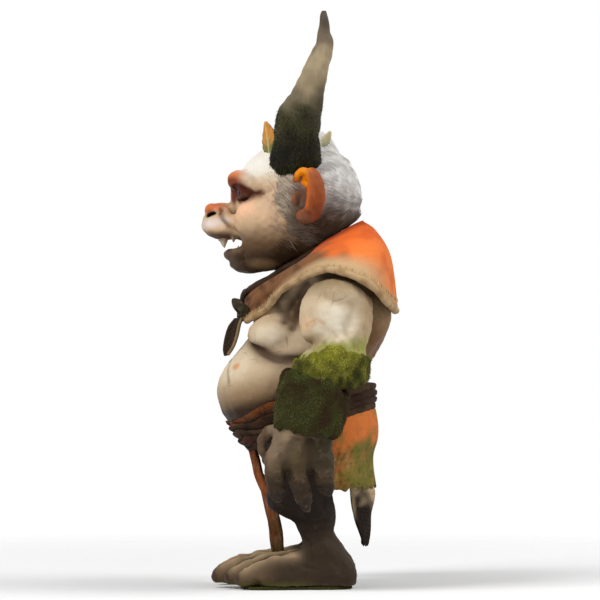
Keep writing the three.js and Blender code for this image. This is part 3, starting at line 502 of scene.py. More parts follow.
class Coat:
    """Paint on a piece: a colour for each point, laid on in soft marks that both sides share."""

    def __init__(self, points, base):
        self.places = folded(points)
        self.colour = np.tile(linear(base), (len(points), 1))

    def wash(self, code, mask):
        """Lays a colour on as thickly as the mask says."""
        self.colour += np.clip(mask, 0, 1)[:, None] * (np.array(linear(code)) - self.colour)

    def dab(self, code, centre, radii, strength=1.0, soft=0.7):
        """An egg-shaped patch of paint with a soft edge."""
        reach = np.linalg.norm((self.places - np.array(centre)) / np.array(radii), axis=1)
        self.wash(code, strength * ease(1, 1 - soft, reach))

    def stroke(self, code, path, width, strength=1.0):
        """A soft line of paint along a path."""
        reach = thread(path).distance(*self.places.T)
        self.wash(code, strength * hump(reach, width))


LAYER_FIELDS = {"FLOAT": "value", "FLOAT_VECTOR": "vector", "FLOAT_COLOR": "color"}


def add_layer(mesh, name, kind, values):
    """Stores a value for each point of a mesh."""
    field = mesh.attributes.new(name, kind, "POINT").data
    field.foreach_set(LAYER_FIELDS[kind], values.astype(np.float32).ravel())


def placed(name, data):
    """A new object in the scene."""
    made = bpy.data.objects.new(name, data)
    bpy.context.scene.collection.objects.link(made)
    return made


def show(name, shape, coat, finish, body, node, sign=1, uv=None, hollow=None):
    """Makes a painted piece from points and faces and hands it to its body in a node's place."""
    points, faces = shape
    mesh = bpy.data.meshes.new(name)
    faces = faces if sign > 0 else faces[:, ::-1]
    corners = [list(dict.fromkeys(face)) for face in faces.tolist()]
    mesh.from_pydata((points * (sign * MM, MM, MM)).tolist(), [], corners)
    mesh.polygons.foreach_set("use_smooth", [True] * len(mesh.polygons))
    add_layer(mesh, "paint", "FLOAT_COLOR", coat.colour)
    if hollow is not None:
        add_layer(mesh, "hollow", "FLOAT", hollow)
    if uv is not None:
        at = np.zeros(len(mesh.loops), int)
        mesh.loops.foreach_get("vertex_index", at)
        mesh.uv_layers.new(name="cloth").data.foreach_set("uv", uv[at].astype(np.float32).ravel())
    mesh.materials.append(finish)
    piece = placed(name, mesh)
    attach(piece, body)
    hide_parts(node)
    return piece


def show_sculpted(name, shape, coat, finish, body, node, sign=1):
    """Shows a sculpted piece, whose finish also reads the depth of its hollows."""
    show(name, shape, coat, finish, body, node, sign, hollow=hollows_of(*shape))


def show_pair(name, shape, coat, finish, body, node, hollow=None):
    """Shows a piece on the left and mirrored on the right; {} in a name stands for the side."""
    for side, sign in SIDES:
        own_name, own_body, own_node = (word.format(side) for word in (name, body, node))
        show(own_name, shape, coat, finish, own_body, own_node, sign, hollow=hollow)


# Materials


class Wire:
    """A value in a node tree; arithmetic on it adds Math nodes."""

    def __init__(self, tree, socket):
        self.tree, self.socket = tree, socket

    def math(self, operation, first, second):
        return self.tree.node("ShaderNodeMath", {"operation": operation}, {0: first, 1: second})

    def __add__(self, other):
        return self.math("ADD", self, other)

    def __sub__(self, other):
        return self.math("SUBTRACT", self, other)

    def __rsub__(self, other):
        return self.math("SUBTRACT", other, self)

    def __mul__(self, other):
        return self.math("MULTIPLY", self, other)

    __radd__ = __add__
    __rmul__ = __mul__

    def clipped(self):
        return self.tree.node("ShaderNodeClamp", {}, {"Value": self})


class NodeTree:
    """Adds nodes to a tree and links them."""

    def __init__(self, tree):
        self.tree = tree

    def node(self, kind, settings=None, sockets=None, output=0):
        made = self.tree.nodes.new(kind)
        for key, value in (settings or {}).items():
            if key == "stops":
                self.set_stops(made.color_ramp, value)
            else:
                setattr(made, key, value)
        for key, value in (sockets or {}).items():
            self.plug(made.inputs[key], value)
        return Wire(self, made.outputs[output])

    def set_stops(self, ramp, stops):
        while len(ramp.elements) < len(stops):
            ramp.elements.new(1)
        for element, (position, colour) in zip(ramp.elements, stops):
            element.position, element.color = position, colour

    def plug(self, socket, value):
        if isinstance(value, Wire):
            self.tree.links.new(value.socket, socket)
        else:
            socket.default_value = value

    def scaled(self, vector, value):
        sockets = {0: vector, "Scale": value}
        return self.node("ShaderNodeVectorMath", {"operation": "SCALE"}, sockets)

    def added(self, first, second):
        return self.node("ShaderNodeVectorMath", {"operation": "ADD"}, {0: first, 1: second})


class Finish(NodeTree):
    """A material under construction."""

    def __init__(self, name):
        self.material = bpy.data.materials.new(name)
        self.material.use_nodes = True
        super().__init__(self.material.node_tree)
        self.shader = self.tree.nodes["Principled BSDF"]
        self.place = self.node("ShaderNodeTexCoord", output=3)

    def layer(self, name):
        """A value stored on the points."""
        return self.node("ShaderNodeAttribute", {"attribute_name": name}, output=2)

    def paint(self):
        """The colour painted on the points."""
        return self.node("ShaderNodeAttribute", {"attribute_name": "paint"})

    def noise(self, size, detail=3, roughness=0.55, stretch=(1, 1, 1)):
        """Cloudy noise with lumps about size millimetres across."""
        place = self.node("ShaderNodeMapping", {}, {"Vector": self.place, "Scale": stretch})
        sockets = {"Scale": 1 / (size * MM), "Detail": detail, "Roughness": roughness}
        return self.node("ShaderNodeTexNoise", {}, {"Vector": place, **sockets})

    def cells(self, size, feature="F1"):
        sockets = {"Vector": self.place, "Scale": 1 / (size * MM)}
        return self.node("ShaderNodeTexVoronoi", {"feature": feature}, sockets)

    def mix(self, share, first, second):
        settings = {"data_type": "RGBA", "clamp_factor": True}
        return self.node("ShaderNodeMix", settings, {0: share, 6: first, 7: second}, output=2)

    def between(self, value, low, high):
        """A value moved from the range low to high into 0 to 1."""
        sockets = {"Value": value, "From Min": low, "From Max": high}
        return self.node("ShaderNodeMapRange", {"clamp": True}, sockets)

    def bump(self, height, depth):
        return self.node("ShaderNodeBump", {}, {"Height": height, "Distance": depth * MM})

    def surface(self, **sockets):
        for key, value in sockets.items():
            self.plug(self.shader.inputs[key.replace("_", " ")], value)
        return self.material


def casting(name, wash, ridge_paint, gloss, roughness=0.52, pores=0.12, cracks=0.0):
    """Painted resin: brushed paint, a dark wash in the hollows that is partly painted shade, and a
    pale colour on the ridges that is partly wear and partly painted highlight.
    """
    made = Finish(name)
    hollow = made.layer("hollow")
    blotch = made.noise(16, 5)
    speckle = made.noise(1.1, 2)
    paint = made.scaled(made.paint(), 0.68 + 0.44 * blotch + 0.16 * speckle)
    # The wash in the hollows: partly the paint's own wash, partly painted shade
    deep = made.between(hollow + 0.5 * (blotch - 0.5), 0.12, 0.75)
    paint = made.mix(0.75 * deep, paint, linear(wash))
    # The pale colour on the ridges: partly wear, partly painted highlight
    ridge_wear_and_highlight = made.between(speckle * 0.5 - hollow, 0.4, 1.0)
    ridge_colour, ridge_share = ridge_paint
    paint = made.mix(ridge_share * ridge_wear_and_highlight, paint, linear(ridge_colour))
    height = 0.6 * speckle + made.noise(3.2, 3)
    if cracks:
        edge = made.cells(15, "DISTANCE_TO_EDGE") + 0.05 * made.noise(4, 4)
        crack = made.between(edge, 0.045, 0.02) * made.between(made.noise(22, 2), 0.52, 0.66)
        paint = made.mix(cracks * crack, paint, linear("#6a4526"))
        height = height - 0.5 * crack
    return made.surface(
        Base_Color=paint,
        Roughness=(roughness - 0.12 + 0.26 * blotch).clipped(),
        Normal=made.bump(height, pores),
        Specular_IOR_Level=gloss,
    )


def horn_finish():
    """Horn: lengthwise fibres and growth rings under brushed paint."""
    made = Finish("horn")
    fibre = made.noise(1.6, 4, stretch=(1, 1, 0.12))
    ring = made.noise(5, 3, stretch=(0.25, 0.25, 1))
    paint = made.scaled(made.paint(), 0.62 + 0.45 * fibre + 0.3 * ring)
    return made.surface(
        Base_Color=paint,
        Roughness=(0.45 + 0.3 * fibre).clipped(),
        Normal=made.bump(fibre + 0.6 * ring, 0.5),
        Specular_IOR_Level=0.2,
    )


def strand_finish(name, root, tip, pale, other, roughness, patch=9, contrast=1.0):
    """Hair or moss: darker at the root, no two strands alike; tone fades it to another colour."""
    made = Finish(name)
    shade, along, tone = made.layer("shade"), made.layer("tip"), made.layer("tone")
    patches = made.noise(patch, 4)
    colour = made.mix(made.between(along, 0.05, 0.8), linear(root), linear(tip))
    light = made.between(shade + 1.2 * (patches - 0.5), 0.5, 1.0)
    colour = made.mix(light, colour, linear(pale))
    colour = made.mix(tone, colour, linear(other))
    level = 0.95 + 0.56 * contrast * (patches - 0.5) + 0.3 * (shade - 0.5)
    colour = made.scaled(colour, level)
    return made.surface(Base_Color=colour, Roughness=roughness, Specular_IOR_Level=0.15)


def felt_finish(name="felt"):
    """Pressed felt: short tangled fibres over a dyed ground."""
    made = Finish(name)
    fuzz = made.noise(0.9, 5, 0.7)
    tangle = made.noise(2.6, 4, 0.65, stretch=(1, 0.5, 1.6))
    cloud = made.noise(20, 3)
    colour = made.scaled(made.paint(), 0.66 + 0.28 * fuzz + 0.18 * tangle + 0.22 * cloud)
    return made.surface(
        Base_Color=colour,
        Roughness=0.92,
        Sheen_Weight=0.06,
        Sheen_Roughness=0.5,
        Normal=made.bump(fuzz + tangle, 0.45),
        Specular_IOR_Level=0.06,
    )


def cloth_finish(name, stain, thread=0.9, wrinkle=0.5):
    """Coarse cloth: warp and weft on the cloth's own map, with worn and stained patches."""
    made = Finish(name)
    flat = made.node("ShaderNodeTexCoord", output=2)
    sway = made.noise(3, 2)
    weave = []
    for way in ("X", "Y"):
        settings = {"wave_type": "BANDS", "bands_direction": way, "wave_profile": "SIN"}
        sockets = {"Vector": flat, "Scale": 0.31 / thread / MM, "Distortion": 0.8, "Detail": 1}
        weave.append(made.node("ShaderNodeTexWave", settings, sockets, output=1))
    thread_height = weave[0] * weave[1]
    cloud, slub = made.noise(10, 6, 0.65), made.noise(2.2, 4)
    stained = 0.75 * made.between(cloud, 0.5, 0.66)
    colour = made.mix(stained, made.paint(), linear(stain))
    colour = made.scaled(colour, 0.58 + 0.2 * thread_height + 0.36 * made.noise(6, 5) + 0.28 * slub)
    return made.surface(
        Base_Color=colour,
        Roughness=0.9,
        Sheen_Weight=0.03,
        Normal=made.bump(0.5 * thread_height + wrinkle * sway + 0.4 * slub, 0.5),
        Specular_IOR_Level=0.06,
    )


def leather_finish():
    """Dark leather: pebbled grain, scuffs and a pale cut edge from the paint."""
    made = Finish("leather")
    grain = made.cells(1.3)
    scuff = made.noise(6, 5, 0.65)
    colour = made.scaled(made.paint(), 0.55 + 0.75 * scuff + 0.2 * grain)
    return made.surface(
        Base_Color=colour,
        Roughness=(0.42 + 0.35 * scuff).clipped(),
        Normal=made.bump(grain + scuff, 0.4),
        Specular_IOR_Level=0.12,
    )


def leaf_finish():
    """A dry leaf: veins from the paint, blotched and brittle."""
    made = Finish("dry_leaf")
    blotch, grain = made.noise(4, 4), made.noise(0.8, 3)
    colour = made.scaled(made.paint(), 0.6 + 0.5 * blotch + 0.3 * grain)
    return made.surface(Base_Color=colour, Roughness=0.7, Normal=made.bump(blotch + grain, 0.4))


def gloss_finish(name, roughness, coat, gloss):
    """A painted and varnished bead or tooth."""
    made = Finish(name)
    grain = made.noise(1.5, 3)
    colour = made.scaled(made.paint(), 0.85 + 0.3 * grain)
    return made.surface(
        Base_Color=colour,
        Roughness=roughness,
        Coat_Weight=coat,
        Normal=made.bump(grain, 0.05),
        Specular_IOR_Level=gloss,
    )


def plain_finish(name, code, metallic, roughness, stretch):
    """Turned metal or wood of the hidden pegs, bushes and dowels."""
    made = Finish(name)
    grain = made.noise(1.2, 4, stretch=stretch)
    return made.surface(
        Base_Color=made.mix(grain, linear(code), linear("#6b5a40")),
        Metallic=metallic,
        Roughness=(roughness + 0.25 * grain).clipped(),
        Normal=made.bump(grain, 0.08),
    )


# Growing strands over a surface, and stitches along a line


class Growth(NodeTree):
    """A geometry tree with named inputs."""

    def __init__(self, name, inputs):
        group = bpy.data.node_groups.new(name, "GeometryNodeTree")
        super().__init__(group)
        sockets = group.interface
        sockets.new_socket("Strands", in_out="OUTPUT", socket_type="NodeSocketGeometry")
        kinds = {"Seed": "Int", "Joints": "Int", "Finish": "Material", "Surface": "Geometry"}
        for key in ["Surface", *inputs]:
            kind = "NodeSocket" + kinds.get(key, "Float")
            sockets.new_socket(key, in_out="INPUT", socket_type=kind)
        self.source = group.nodes.new("NodeGroupInput")

    def given(self, name):
        return Wire(self, self.source.outputs[name])

    def vector(self, x, y, z):
        return self.node("ShaderNodeCombineXYZ", {}, {0: x, 1: y, 2: z})

    def named(self, name, kind):
        return self.node("GeometryNodeInputNamedAttribute", {"data_type": kind}, {"Name": name})

    def random(self, low, high, extra=0):
        sockets = {2: low, 3: high, "Seed": self.given("Seed") + extra}
        return self.node("FunctionNodeRandomValue", {"data_type": "FLOAT"}, sockets, output=1)

    def stored(self, geometry, name, value, domain):
        settings = {"data_type": "FLOAT", "domain": domain}
        sockets = {"Geometry": geometry, "Name": name, "Value": value}
        return self.node("GeometryNodeStoreNamedAttribute", settings, sockets)

    def turned(self, primary, first, secondary, second):
        """The turn that lays one axis along a direction and another one near a second."""
        axes = {"primary_axis": primary, "secondary_axis": secondary}
        sockets = {"Primary Axis": first, "Secondary Axis": second}
        return self.node("FunctionNodeAxesToRotation", axes, sockets)

    def finished(self, instancing):
        """Plants the instances, gives each a shade of its own and makes them one mesh."""
        planted = self.node("GeometryNodeInstanceOnPoints", {}, instancing)
        shaded = self.stored(planted, "shade", self.random(0.0, 1.0, 6), "INSTANCE")
        real = self.node("GeometryNodeRealizeInstances", {}, {"Geometry": shaded})
        smooth = self.node("GeometryNodeSetShadeSmooth", {}, {"Geometry": real})
        sockets = {"Geometry": smooth, "Material": self.given("Finish")}
        painted = self.node("GeometryNodeSetMaterial", {}, sockets)
        self.plug(self.tree.nodes.new("NodeGroupOutput").inputs[0], painted)
        return self.tree


STRAND_INPUTS = [
    "Per Area", "Length", "Rise", "Droop", "Width", "Spread", "Tilt", "Joints", "Seed", "Finish",
]


def strand_tree():
    """Strands that grow from a surface: thick where its growth is, lying the way it is combed."""
    grow = Growth("strands", STRAND_INPUTS)
    thick = grow.named("growth", "FLOAT") * grow.given("Per Area")
    sockets = {"Mesh": grow.given("Surface"), "Density": thick, "Seed": grow.given("Seed")}
    method = {"distribute_method": "RANDOM"}
    scatter = grow.node("GeometryNodeDistributePointsOnFaces", method, sockets)
    normal = Wire(grow, scatter.socket.node.outputs["Normal"])
    spread = grow.given("Spread")
    stray = grow.vector(*(grow.random(-1.0, 1.0, k) * spread for k in (1, 2, 3)))
    way = grow.added(grow.named("comb", "FLOAT_VECTOR"), stray)
    stand = grow.turned("Z", normal, "Y", way)
    tilt = grow.vector(grow.random(0.0, 1.0, 4) * grow.given("Tilt"), 0.0, 0.0)
    lean = grow.node("FunctionNodeEulerToRotation", {}, {"Euler": tilt})
    local = {"rotation_space": "LOCAL"}
    turn = grow.node("FunctionNodeRotateRotation", local, {"Rotation": stand, "Rotate By": lean})
    length = grow.given("Length")
    path = {
        "Resolution": grow.given("Joints"),
        "Start": grow.vector(0.0, 0.0, grow.given("Width") * -0.5),
        "Middle": grow.vector(0.0, length * 0.5, grow.given("Rise")),
        "End": grow.vector(0.0, length, grow.given("Droop")),
    }
    curve = grow.node("GeometryNodeCurveQuadraticBezier", {}, path)
    along = grow.node("GeometryNodeSplineParameter")
    curve = grow.stored(curve, "tip", along, "POINT")
    outline = {"Resolution": 3, "Radius": grow.given("Width") * 0.5}
    profile = grow.node("GeometryNodeCurvePrimitiveCircle", {}, outline)
    taper = 1 - 0.86 * along * along
    blade = {"Curve": curve, "Profile Curve": profile, "Scale": taper}
    strand = grow.node("GeometryNodeCurveToMesh", {}, blade)
    size = grow.random(0.55, 1.15, 5)
    sizes = grow.vector(1.0, size, size)
    sockets = {"Points": scatter, "Instance": strand, "Rotation": turn, "Scale": sizes}
    return grow.finished(sockets)


def stitch_tree():
    """Short stitches across a line, one every step."""
    sew = Growth("stitches", ["Step", "Length", "Width", "Slant", "Seed", "Finish"])
    line = sew.node("GeometryNodeMeshToCurve", {}, {"Mesh": sew.given("Surface")})
    sockets = {"Curve": line, "Length": sew.given("Step")}
    spots = sew.node("GeometryNodeCurveToPoints", {"mode": "LENGTH"}, sockets)
    tangent = Wire(sew, spots.socket.node.outputs["Tangent"])
    slanted = sew.scaled(tangent, sew.given("Slant"))
    way = sew.added(sew.named("across", "FLOAT_VECTOR"), slanted)
    turn = sew.turned("Y", way, "X", tangent)
    half = sew.given("Length") * 0.5
    path = {
        "Resolution": 4,
        "Start": sew.vector(0.0, -1 * half, sew.given("Width") * -0.8),
        "Middle": sew.vector(0.0, 0.0, sew.given("Width") * 0.9),
        "End": sew.vector(0.0, half, sew.given("Width") * -0.8),
    }
    curve = sew.node("GeometryNodeCurveQuadraticBezier", {}, path)
    outline = {"Resolution": 5, "Radius": sew.given("Width") * 0.5}
    profile = sew.node("GeometryNodeCurvePrimitiveCircle", {}, outline)
    blade = {"Curve": curve, "Profile Curve": profile, "Fill Caps": True}
    thread = sew.node("GeometryNodeCurveToMesh", {}, blade)
    return sew.finished({"Points": spots, "Instance": thread, "Rotation": turn})


def grown(name, shape, tree, settings, vectors, layers, body, sign=1, edges=()):
    """Runs a geometry tree over a shape and keeps the result as a plain mesh on a body."""
    points, faces = shape
    corners = faces if sign > 0 else faces[:, ::-1]
    mesh = bpy.data.meshes.new(name)
    mesh.from_pydata((points * (sign * MM, MM, MM)).tolist(), list(edges), corners.tolist())
    for layer, values in vectors.items():
        add_layer(mesh, layer, "FLOAT_VECTOR", values * (sign, 1, 1))
    for layer, values in layers.items():
        add_layer(mesh, layer, "FLOAT", values)
    host = placed(name + "_ground", mesh)
    modifier = host.modifiers.new("growth", "NODES")
    modifier.node_group = tree
    for item in tree.interface.items_tree:
        if item.in_out == "INPUT" and item.name in settings:
            modifier[item.identifier] = settings[item.name]
    view = bpy.context.evaluated_depsgraph_get()
    result = bpy.data.meshes.new_from_object(host.evaluated_get(view))
    host.modifiers.remove(modifier)
    bpy.data.objects.remove(host)
    result.name = name
    piece = placed(name, result)
    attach(piece, body)
    return piece


STRANDS = strand_tree()
STITCHES = stitch_tree()


PER_SQUARE_CM = 1e4


def tufts(name, shape, growth, comb, finish, body, slot, seed, sign=1, tone=None, **sizes):
    """Fur or moss over a shape: sizes in millimetres, thickness in strands a square centimetre."""
    settings = {
        "Seed": seed,
        "Finish": finish,
        "Spread": sizes.pop("spread"),
        "Tilt": sizes.pop("tilt", 0.0),
        "Joints": sizes.pop("joints", 2),
        "Per Area": sizes.pop("per_area") * PER_SQUARE_CM * STRAND_SHARE,
    }
    settings |= {key.capitalize(): value * MM for key, value in sizes.items()}
    tone = np.zeros(len(growth)) if tone is None else tone
    layers = {"growth": np.clip(growth, 0, 1), "tone": tone}
    return grown(name, shape, STRANDS, settings, {"comb": comb}, layers, body, sign)


def stitching(name, line, across, finish, body, slot, step, length, width, slant):
    """Stitches along a line of points, lying across it; sizes in millimetres."""
    edges = [(i, i + 1) for i in range(len(line) - 1)]
    settings = {"Step": step * MM, "Length": length * MM, "Width": width * MM, "Slant": slant}
    settings |= {"Seed": 3, "Finish": finish}
    bare = (line, np.empty((0, 4), int))
    return grown(name, bare, STITCHES, settings, {"across": across}, {}, body, edges=edges)


def combed(points, faces, way):
    """A combing direction laid flat on a surface."""
    normal = normals_of(points, faces)
    way = np.broadcast_to(np.asarray(way, float), points.shape)
    return unit(way - normal * (way * normal).sum(axis=1, keepdims=True))


# Castings: name, the wash in the hollows (partly painted shade), the ridges' colour (partly wear,
# partly painted highlight) and its share, gloss, then roughness and pores
CREAM_CASTING = casting("cream_casting", "#4a2c18", ("#f0e2c6", 0.14), 0.14, cracks=0.7)
FACE_CASTING = casting("face_casting", "#3d2415", ("#f0e2c6", 0.08), 0.1)
DARK_CASTING = casting("dark_casting", "#120b06", ("#7d6a55", 0.22), 0.12, 0.66, 0.2)
TAUPE_CASTING = casting("taupe_casting", "#150d08", ("#9a8770", 0.25), 0.15, 0.62, 0.2)
WIG_GROUND = casting("wig_ground", "#c4b9ad", ("#fbf8f3", 0.3), 0.08, 0.7, 0.2)
MOSS_GROUND = casting("moss_ground", "#10120a", ("#5c6028", 0.2), 0.05, 0.9, 0.3)
EAR_CASTING = casting("ear_casting", "#4a1c08", ("#f0c49a", 0.1), 0.12)
HORN_PAINT = horn_finish()
FELT = felt_finish()
HEM = felt_finish("hem")
OLIVE_CLOTH = cloth_finish("olive_cloth", "#8a7436")
RUST_CLOTH = cloth_finish("rust_cloth", "#5c4226")
SASH_CLOTH = cloth_finish("sash_cloth", "#241710", thread=1.1, wrinkle=0.9)
LEATHER = leather_finish()
LEAF = leaf_finish()
EYE_GLOSS = gloss_finish("eye", 0.25, 0.0, 0.12)
IVORY = gloss_finish("fang", 0.3, 0.2, 0.4)
FUR = strand_finish("fur", "#ebe6df", "#faf8f5", "#fefdfb", "#5d4836", 0.5, 26, 0.15)
SIDEBURN = strand_finish("sideburn", "#b39c82", "#dac8b0", "#f2eadd", "#5d4937", 0.5, 14, 0.6)
BRIGHT_MOSS = strand_finish("bright_moss", "#706c1e", "#c6be4c", "#dfd678", "#55522a", 0.85, 8)
DARK_MOSS = strand_finish("dark_moss", "#282311", "#524d28", "#7a7350", "#43321f", 0.85, 6)
HORN_MOSS = strand_finish("horn_moss", "#0d0c07", "#25250f", "#4f5226", "#1d150c", 0.85, 9)
THREAD = strand_finish("thread", "#b0966c", "#b0966c", "#c8b084", "#b0966c", 0.8)
STEEL = plain_finish("peg_steel", "#b9babc", 1.0, 0.25, (1, 1, 6))
BRASS = plain_finish("bush_brass", "#c2a45a", 1.0, 0.3, (1, 1, 6))
WASHER_HIDE = plain_finish("washer_leather", "#4a3423", 0.0, 0.6, (1, 1, 1))
BEECH = plain_finish("dowel_wood", "#d6b98a", 0.0, 0.55, (1, 1, 0.1))


# Torso

# Rows of level, front, back and half width
TRUNK = [
    (62, -13, 20, 20), (68, -19, 27, 28), (76, -28, 31.5, 32.5), (86, -36, 33.5, 34.5),
    (96, -40.3, 34, 35), (106, -38.5, 34.5, 35), (114, -34, 37, 35), (122, -28, 42, 34.5),
    (130, -24, 45, 34), (138, -22, 45, 34), (146, -18, 43, 33.5), (154, -12, 41, 32),
    (162, -4, 39, 30), (170, 8, 37, 26), (178, 20, 35, 18),
]
SHOULDER_Y, SHOULDER_Z, SHOULDER_SEAT_X = 18.25, 138, 35
SASH_FRONT, SASH_BACK, SASH_WIDTH = (-33, 77.5), (36, 97), 13.6
PEC_FOLD = [
    (0, -24.5, 130), (10, -24.5, 126), (21, -21.7, 121.5), (29, -15.5, 117), (33, -9, 115),
    (35, 4, 115),
]
BACK_FOLD = [(0, 38, 112.5), (14, 36.5, 112.5), (27, 27, 113.5), (34, 14, 114.5)]
BELLY_CRACK = [(6, -33.8, 113.5), (12, -35, 109.5), (16.5, -34.6, 104), (20, -33, 100)]
HIP_CRACK = [(-27, -24, 109), (-24.5, -28, 104), (-25, -28.5, 99), (-22, -31, 94)]
ARMPIT_FOLDS = [
    [(33.9, 4, 152), (31.6, 0, 148.5), (29.2, -4, 144), (29, -6.5, 139.5), (29.6, -7, 134)],
    [(32.4, 3, 147), (32.4, 0.5, 142), (31.7, -1.5, 136), (31.7, -3.5, 130.5)],
    [(19.2, -14, 146), (25.4, -11, 141), (28.6, -8, 137), (30.9, -4, 134)],
]


def sash_level(y):
    """The height of the sash's middle, which slopes down from back to front."""
    share = (y - SASH_FRONT[0]) / (SASH_BACK[0] - SASH_FRONT[0])
    return SASH_FRONT[1] + share * (SASH_BACK[1] - SASH_FRONT[1])


def sculpt_torso():
    """Trunk, belly, chest and shoulder seats, with folds and cracks pressed in."""
    clay = Clay((-40, -46, 57), (40, 50, 184), 0.8, mirrored=True)
    # Trunk, belly, chest, shoulder blade, collar muscle and shoulder seat
    clay.add(slices([(*row, 0) for row in TRUNK]))
    clay.add(egg((0, -8.5, 97.5), (34.8, 32, 27)), 4)
    clay.add(egg((14.5, -9.5, 126.5), (18, 16.5, 11.5)), 2.5)
    clay.add(egg((16, 36, 138), (12, 9.5, 15), (0, 0, -15)), 5)
    clay.add(egg((27, 4, 158), (9, 14, 9)), 5)
    seat = (SHOULDER_SEAT_X, SHOULDER_Y, SHOULDER_Z)
    clay.add(rod((0, SHOULDER_Y, SHOULDER_Z), seat, 13), 3)
    # Folds: under the chest and the back, then the breastbone, the spine and the groin
    clay.crease(PEC_FOLD, 1.5, 3.4)
    clay.crease(BACK_FOLD, 2.2, 2.4)
    clay.crease([(0, -28, 142), (0, -25, 133), (0, -27, 127)], 2.2, 1.6)
    clay.crease([(0, 46, 160), (0, 45.5, 140), (0, 41, 120), (0, 35, 102)], 3.5, 2)
    clay.crease([(0, -30, 82), (18, -27, 83), (30, -12, 87)], 2.5, 1.2)
    for fold in ARMPIT_FOLDS:
        clay.crease(fold, 1.4, 2.3)
    # Navel, and the recess that the neck turns in
    clay.carve(egg((0, -42, 97), (2, 4, 2.6)), 1.5)
    clay.carve(half_space(above_neck(-1.2), -NECK_AXIS), 1.5)
    clay.carve(rod(above_neck(-7), above_neck(20), 16.5), 0.8)
    # The cracks are each on one side only
    clay.mirrored = False
    for crack in (BELLY_CRACK, HIP_CRACK):
        clay.crease(crack, 0.9, 0.9)
    clay.uneven(13, 0.3, 1)
    clay.uneven(5, 0.12, 2)
    return clay.skin()


def make_torso():
    """The torso: pale chest and belly with painted highlights, and painted shade in the dark folds
    and towards the back and the sash.
    """
    shape = sculpt_torso()
    points = shape[0]
    _, y, z = points.T
    coat = Coat(points, "#cbb392")
    # Painted highlights on the upper belly and the chest
    coat.dab("#e2d0b2", (14, -34, 112), (28, 20, 14), 0.85)
    coat.dab("#e6d6bc", (24, -14, 127), (16, 13, 8), 0.85)
    # Painted shade: darker at the back, low down and over the sash
    coat.wash("#8a6d48", 0.85 * ease(10, 34, y))
    coat.wash("#8d7150", 0.92 * ease(121, 98, z - 0.35 * y))
    coat.wash("#6a4522", 0.88 * ease(24, 38, y) * ease(146, 120, z))
    over_sash = z - sash_level(y) - SASH_WIDTH / 2
    coat.wash("#6e5234", 0.6 * ease(24, 7, over_sash))
    coat.wash("#24150a", 0.96 * ease(11, 3, over_sash))
    # Folds: painted shade under the chest and in the armpit, with a painted highlight beside the
    # armpit
    coat.stroke("#6d4a2c", PEC_FOLD, 4.5, 0.5)
    coat.stroke("#261307", PEC_FOLD, 3, 0.98)
    coat.dab("#6a4a2c", (33, -2, 140), (10, 9, 13), 0.85)
    coat.dab("#c9b596", (30.5, -2.6, 145.5), (4, 2.4, 3.6), 0.85)
    for fold in ARMPIT_FOLDS:
        coat.stroke("#4a3018", fold, 2.6, 0.7)
        coat.stroke("#2a180b", fold, 1.2, 0.9)
    # Painted shadow under the cape's front
    coat.dab("#4f3d28", (24, -14, 152), (16, 14, 10), 0.7)
    coat.dab("#d6a878", (27, -20, 99), (5, 6, 8), 0.5)
    coat.dab("#a86a4a", (8, -25.5, 126), (5, 4, 3), 0.6)
    # The cracks and orange spots are each on one side only
    coat.places = points
    for crack in (BELLY_CRACK, HIP_CRACK):
        coat.stroke("#4a2a14", crack, 1.3, 0.95)
    coat.dab("#d9832f", (19, -33, 111.5), (4, 5, 3), 0.75)
    coat.dab("#d9832f", (-12, -37, 107), (3, 4, 2.4), 0.6)
    show_sculpted("torso_casting", shape, coat, CREAM_CASTING, "torso", "torso")


# Legs and feet

# Rows of level, front, back, half width and middle
LEG = [
    (66, -9, 16, 12, 18), (60, -13.5, 19, 15.5, 19), (53, -15, 18, 15.3, 20),
    (46, -15, 16, 14.3, 20.6), (40, -13.75, 14.75, 13, 21), (34, -3.75, 15.75, 10.5, 21.5),
    (29.5, -0.75, 16.25, 9.5, 21.5), (24.5, 1.25, 18.75, 9, 21.5), (18, 2, 22.5, 10, 21.5),
    (9, 5, 24, 10.5, 21.5),
]
# Rows of Y, top and half width
FOOT_TOPS = [
    (28.3, 10, 4.5), (25.5, 15, 8.5), (18, 20, 11), (8, 21.5, 12),
    (-2, 20, 13.5), (-10, 17.6, 15.5), (-17, 14, 15.8), (-22, 10, 14),
]
FOOT_X, FOOT_MIDDLE_Z, FOOT_BOTTOM = 21.5, 6.5, 1.9
# Rows of x, y, z and radius, from the foot to the tip
TOES = [
    [
        (12.5, -8, 13, 5.4), (12.5, -20, 11, 6), (12.2, -30, 9.4, 5.5), (11.8, -37, 7, 4.8),
        (11.6, -41.4, 5.4, 3),
    ],
    [
        (21.2, -6, 13, 5.5), (21.2, -17, 10.8, 6), (21.2, -26, 8.4, 5.3), (21.2, -31.5, 6.4, 4.6),
        (21.2, -34.8, 5.2, 2.9),
    ],
    [
        (30, -4, 12, 5.4), (30, -14, 9.8, 5.9), (30.6, -21.5, 7.6, 5.1), (31, -26.5, 5.8, 4.4),
        (31.1, -29.6, 5, 2.8),
    ],
]
# Rows of an offset from the toe's tip, half width and half depth
NAIL = [((0, 2.4, 1.8), 2.4, 1.6), ((0, -0.8, 0.6), 2, 1.4), ((0, -2, -1), 1, 0.7)]
TOE_GROOVES = [
    [(16.8, -33, 7), (16.8, -24, 14), (17, -12, 19), (17.5, -2, 21)],
    [(25.8, -28, 6), (25.6, -20, 12.5), (25, -10, 17.5), (24, 0, 20)],
]


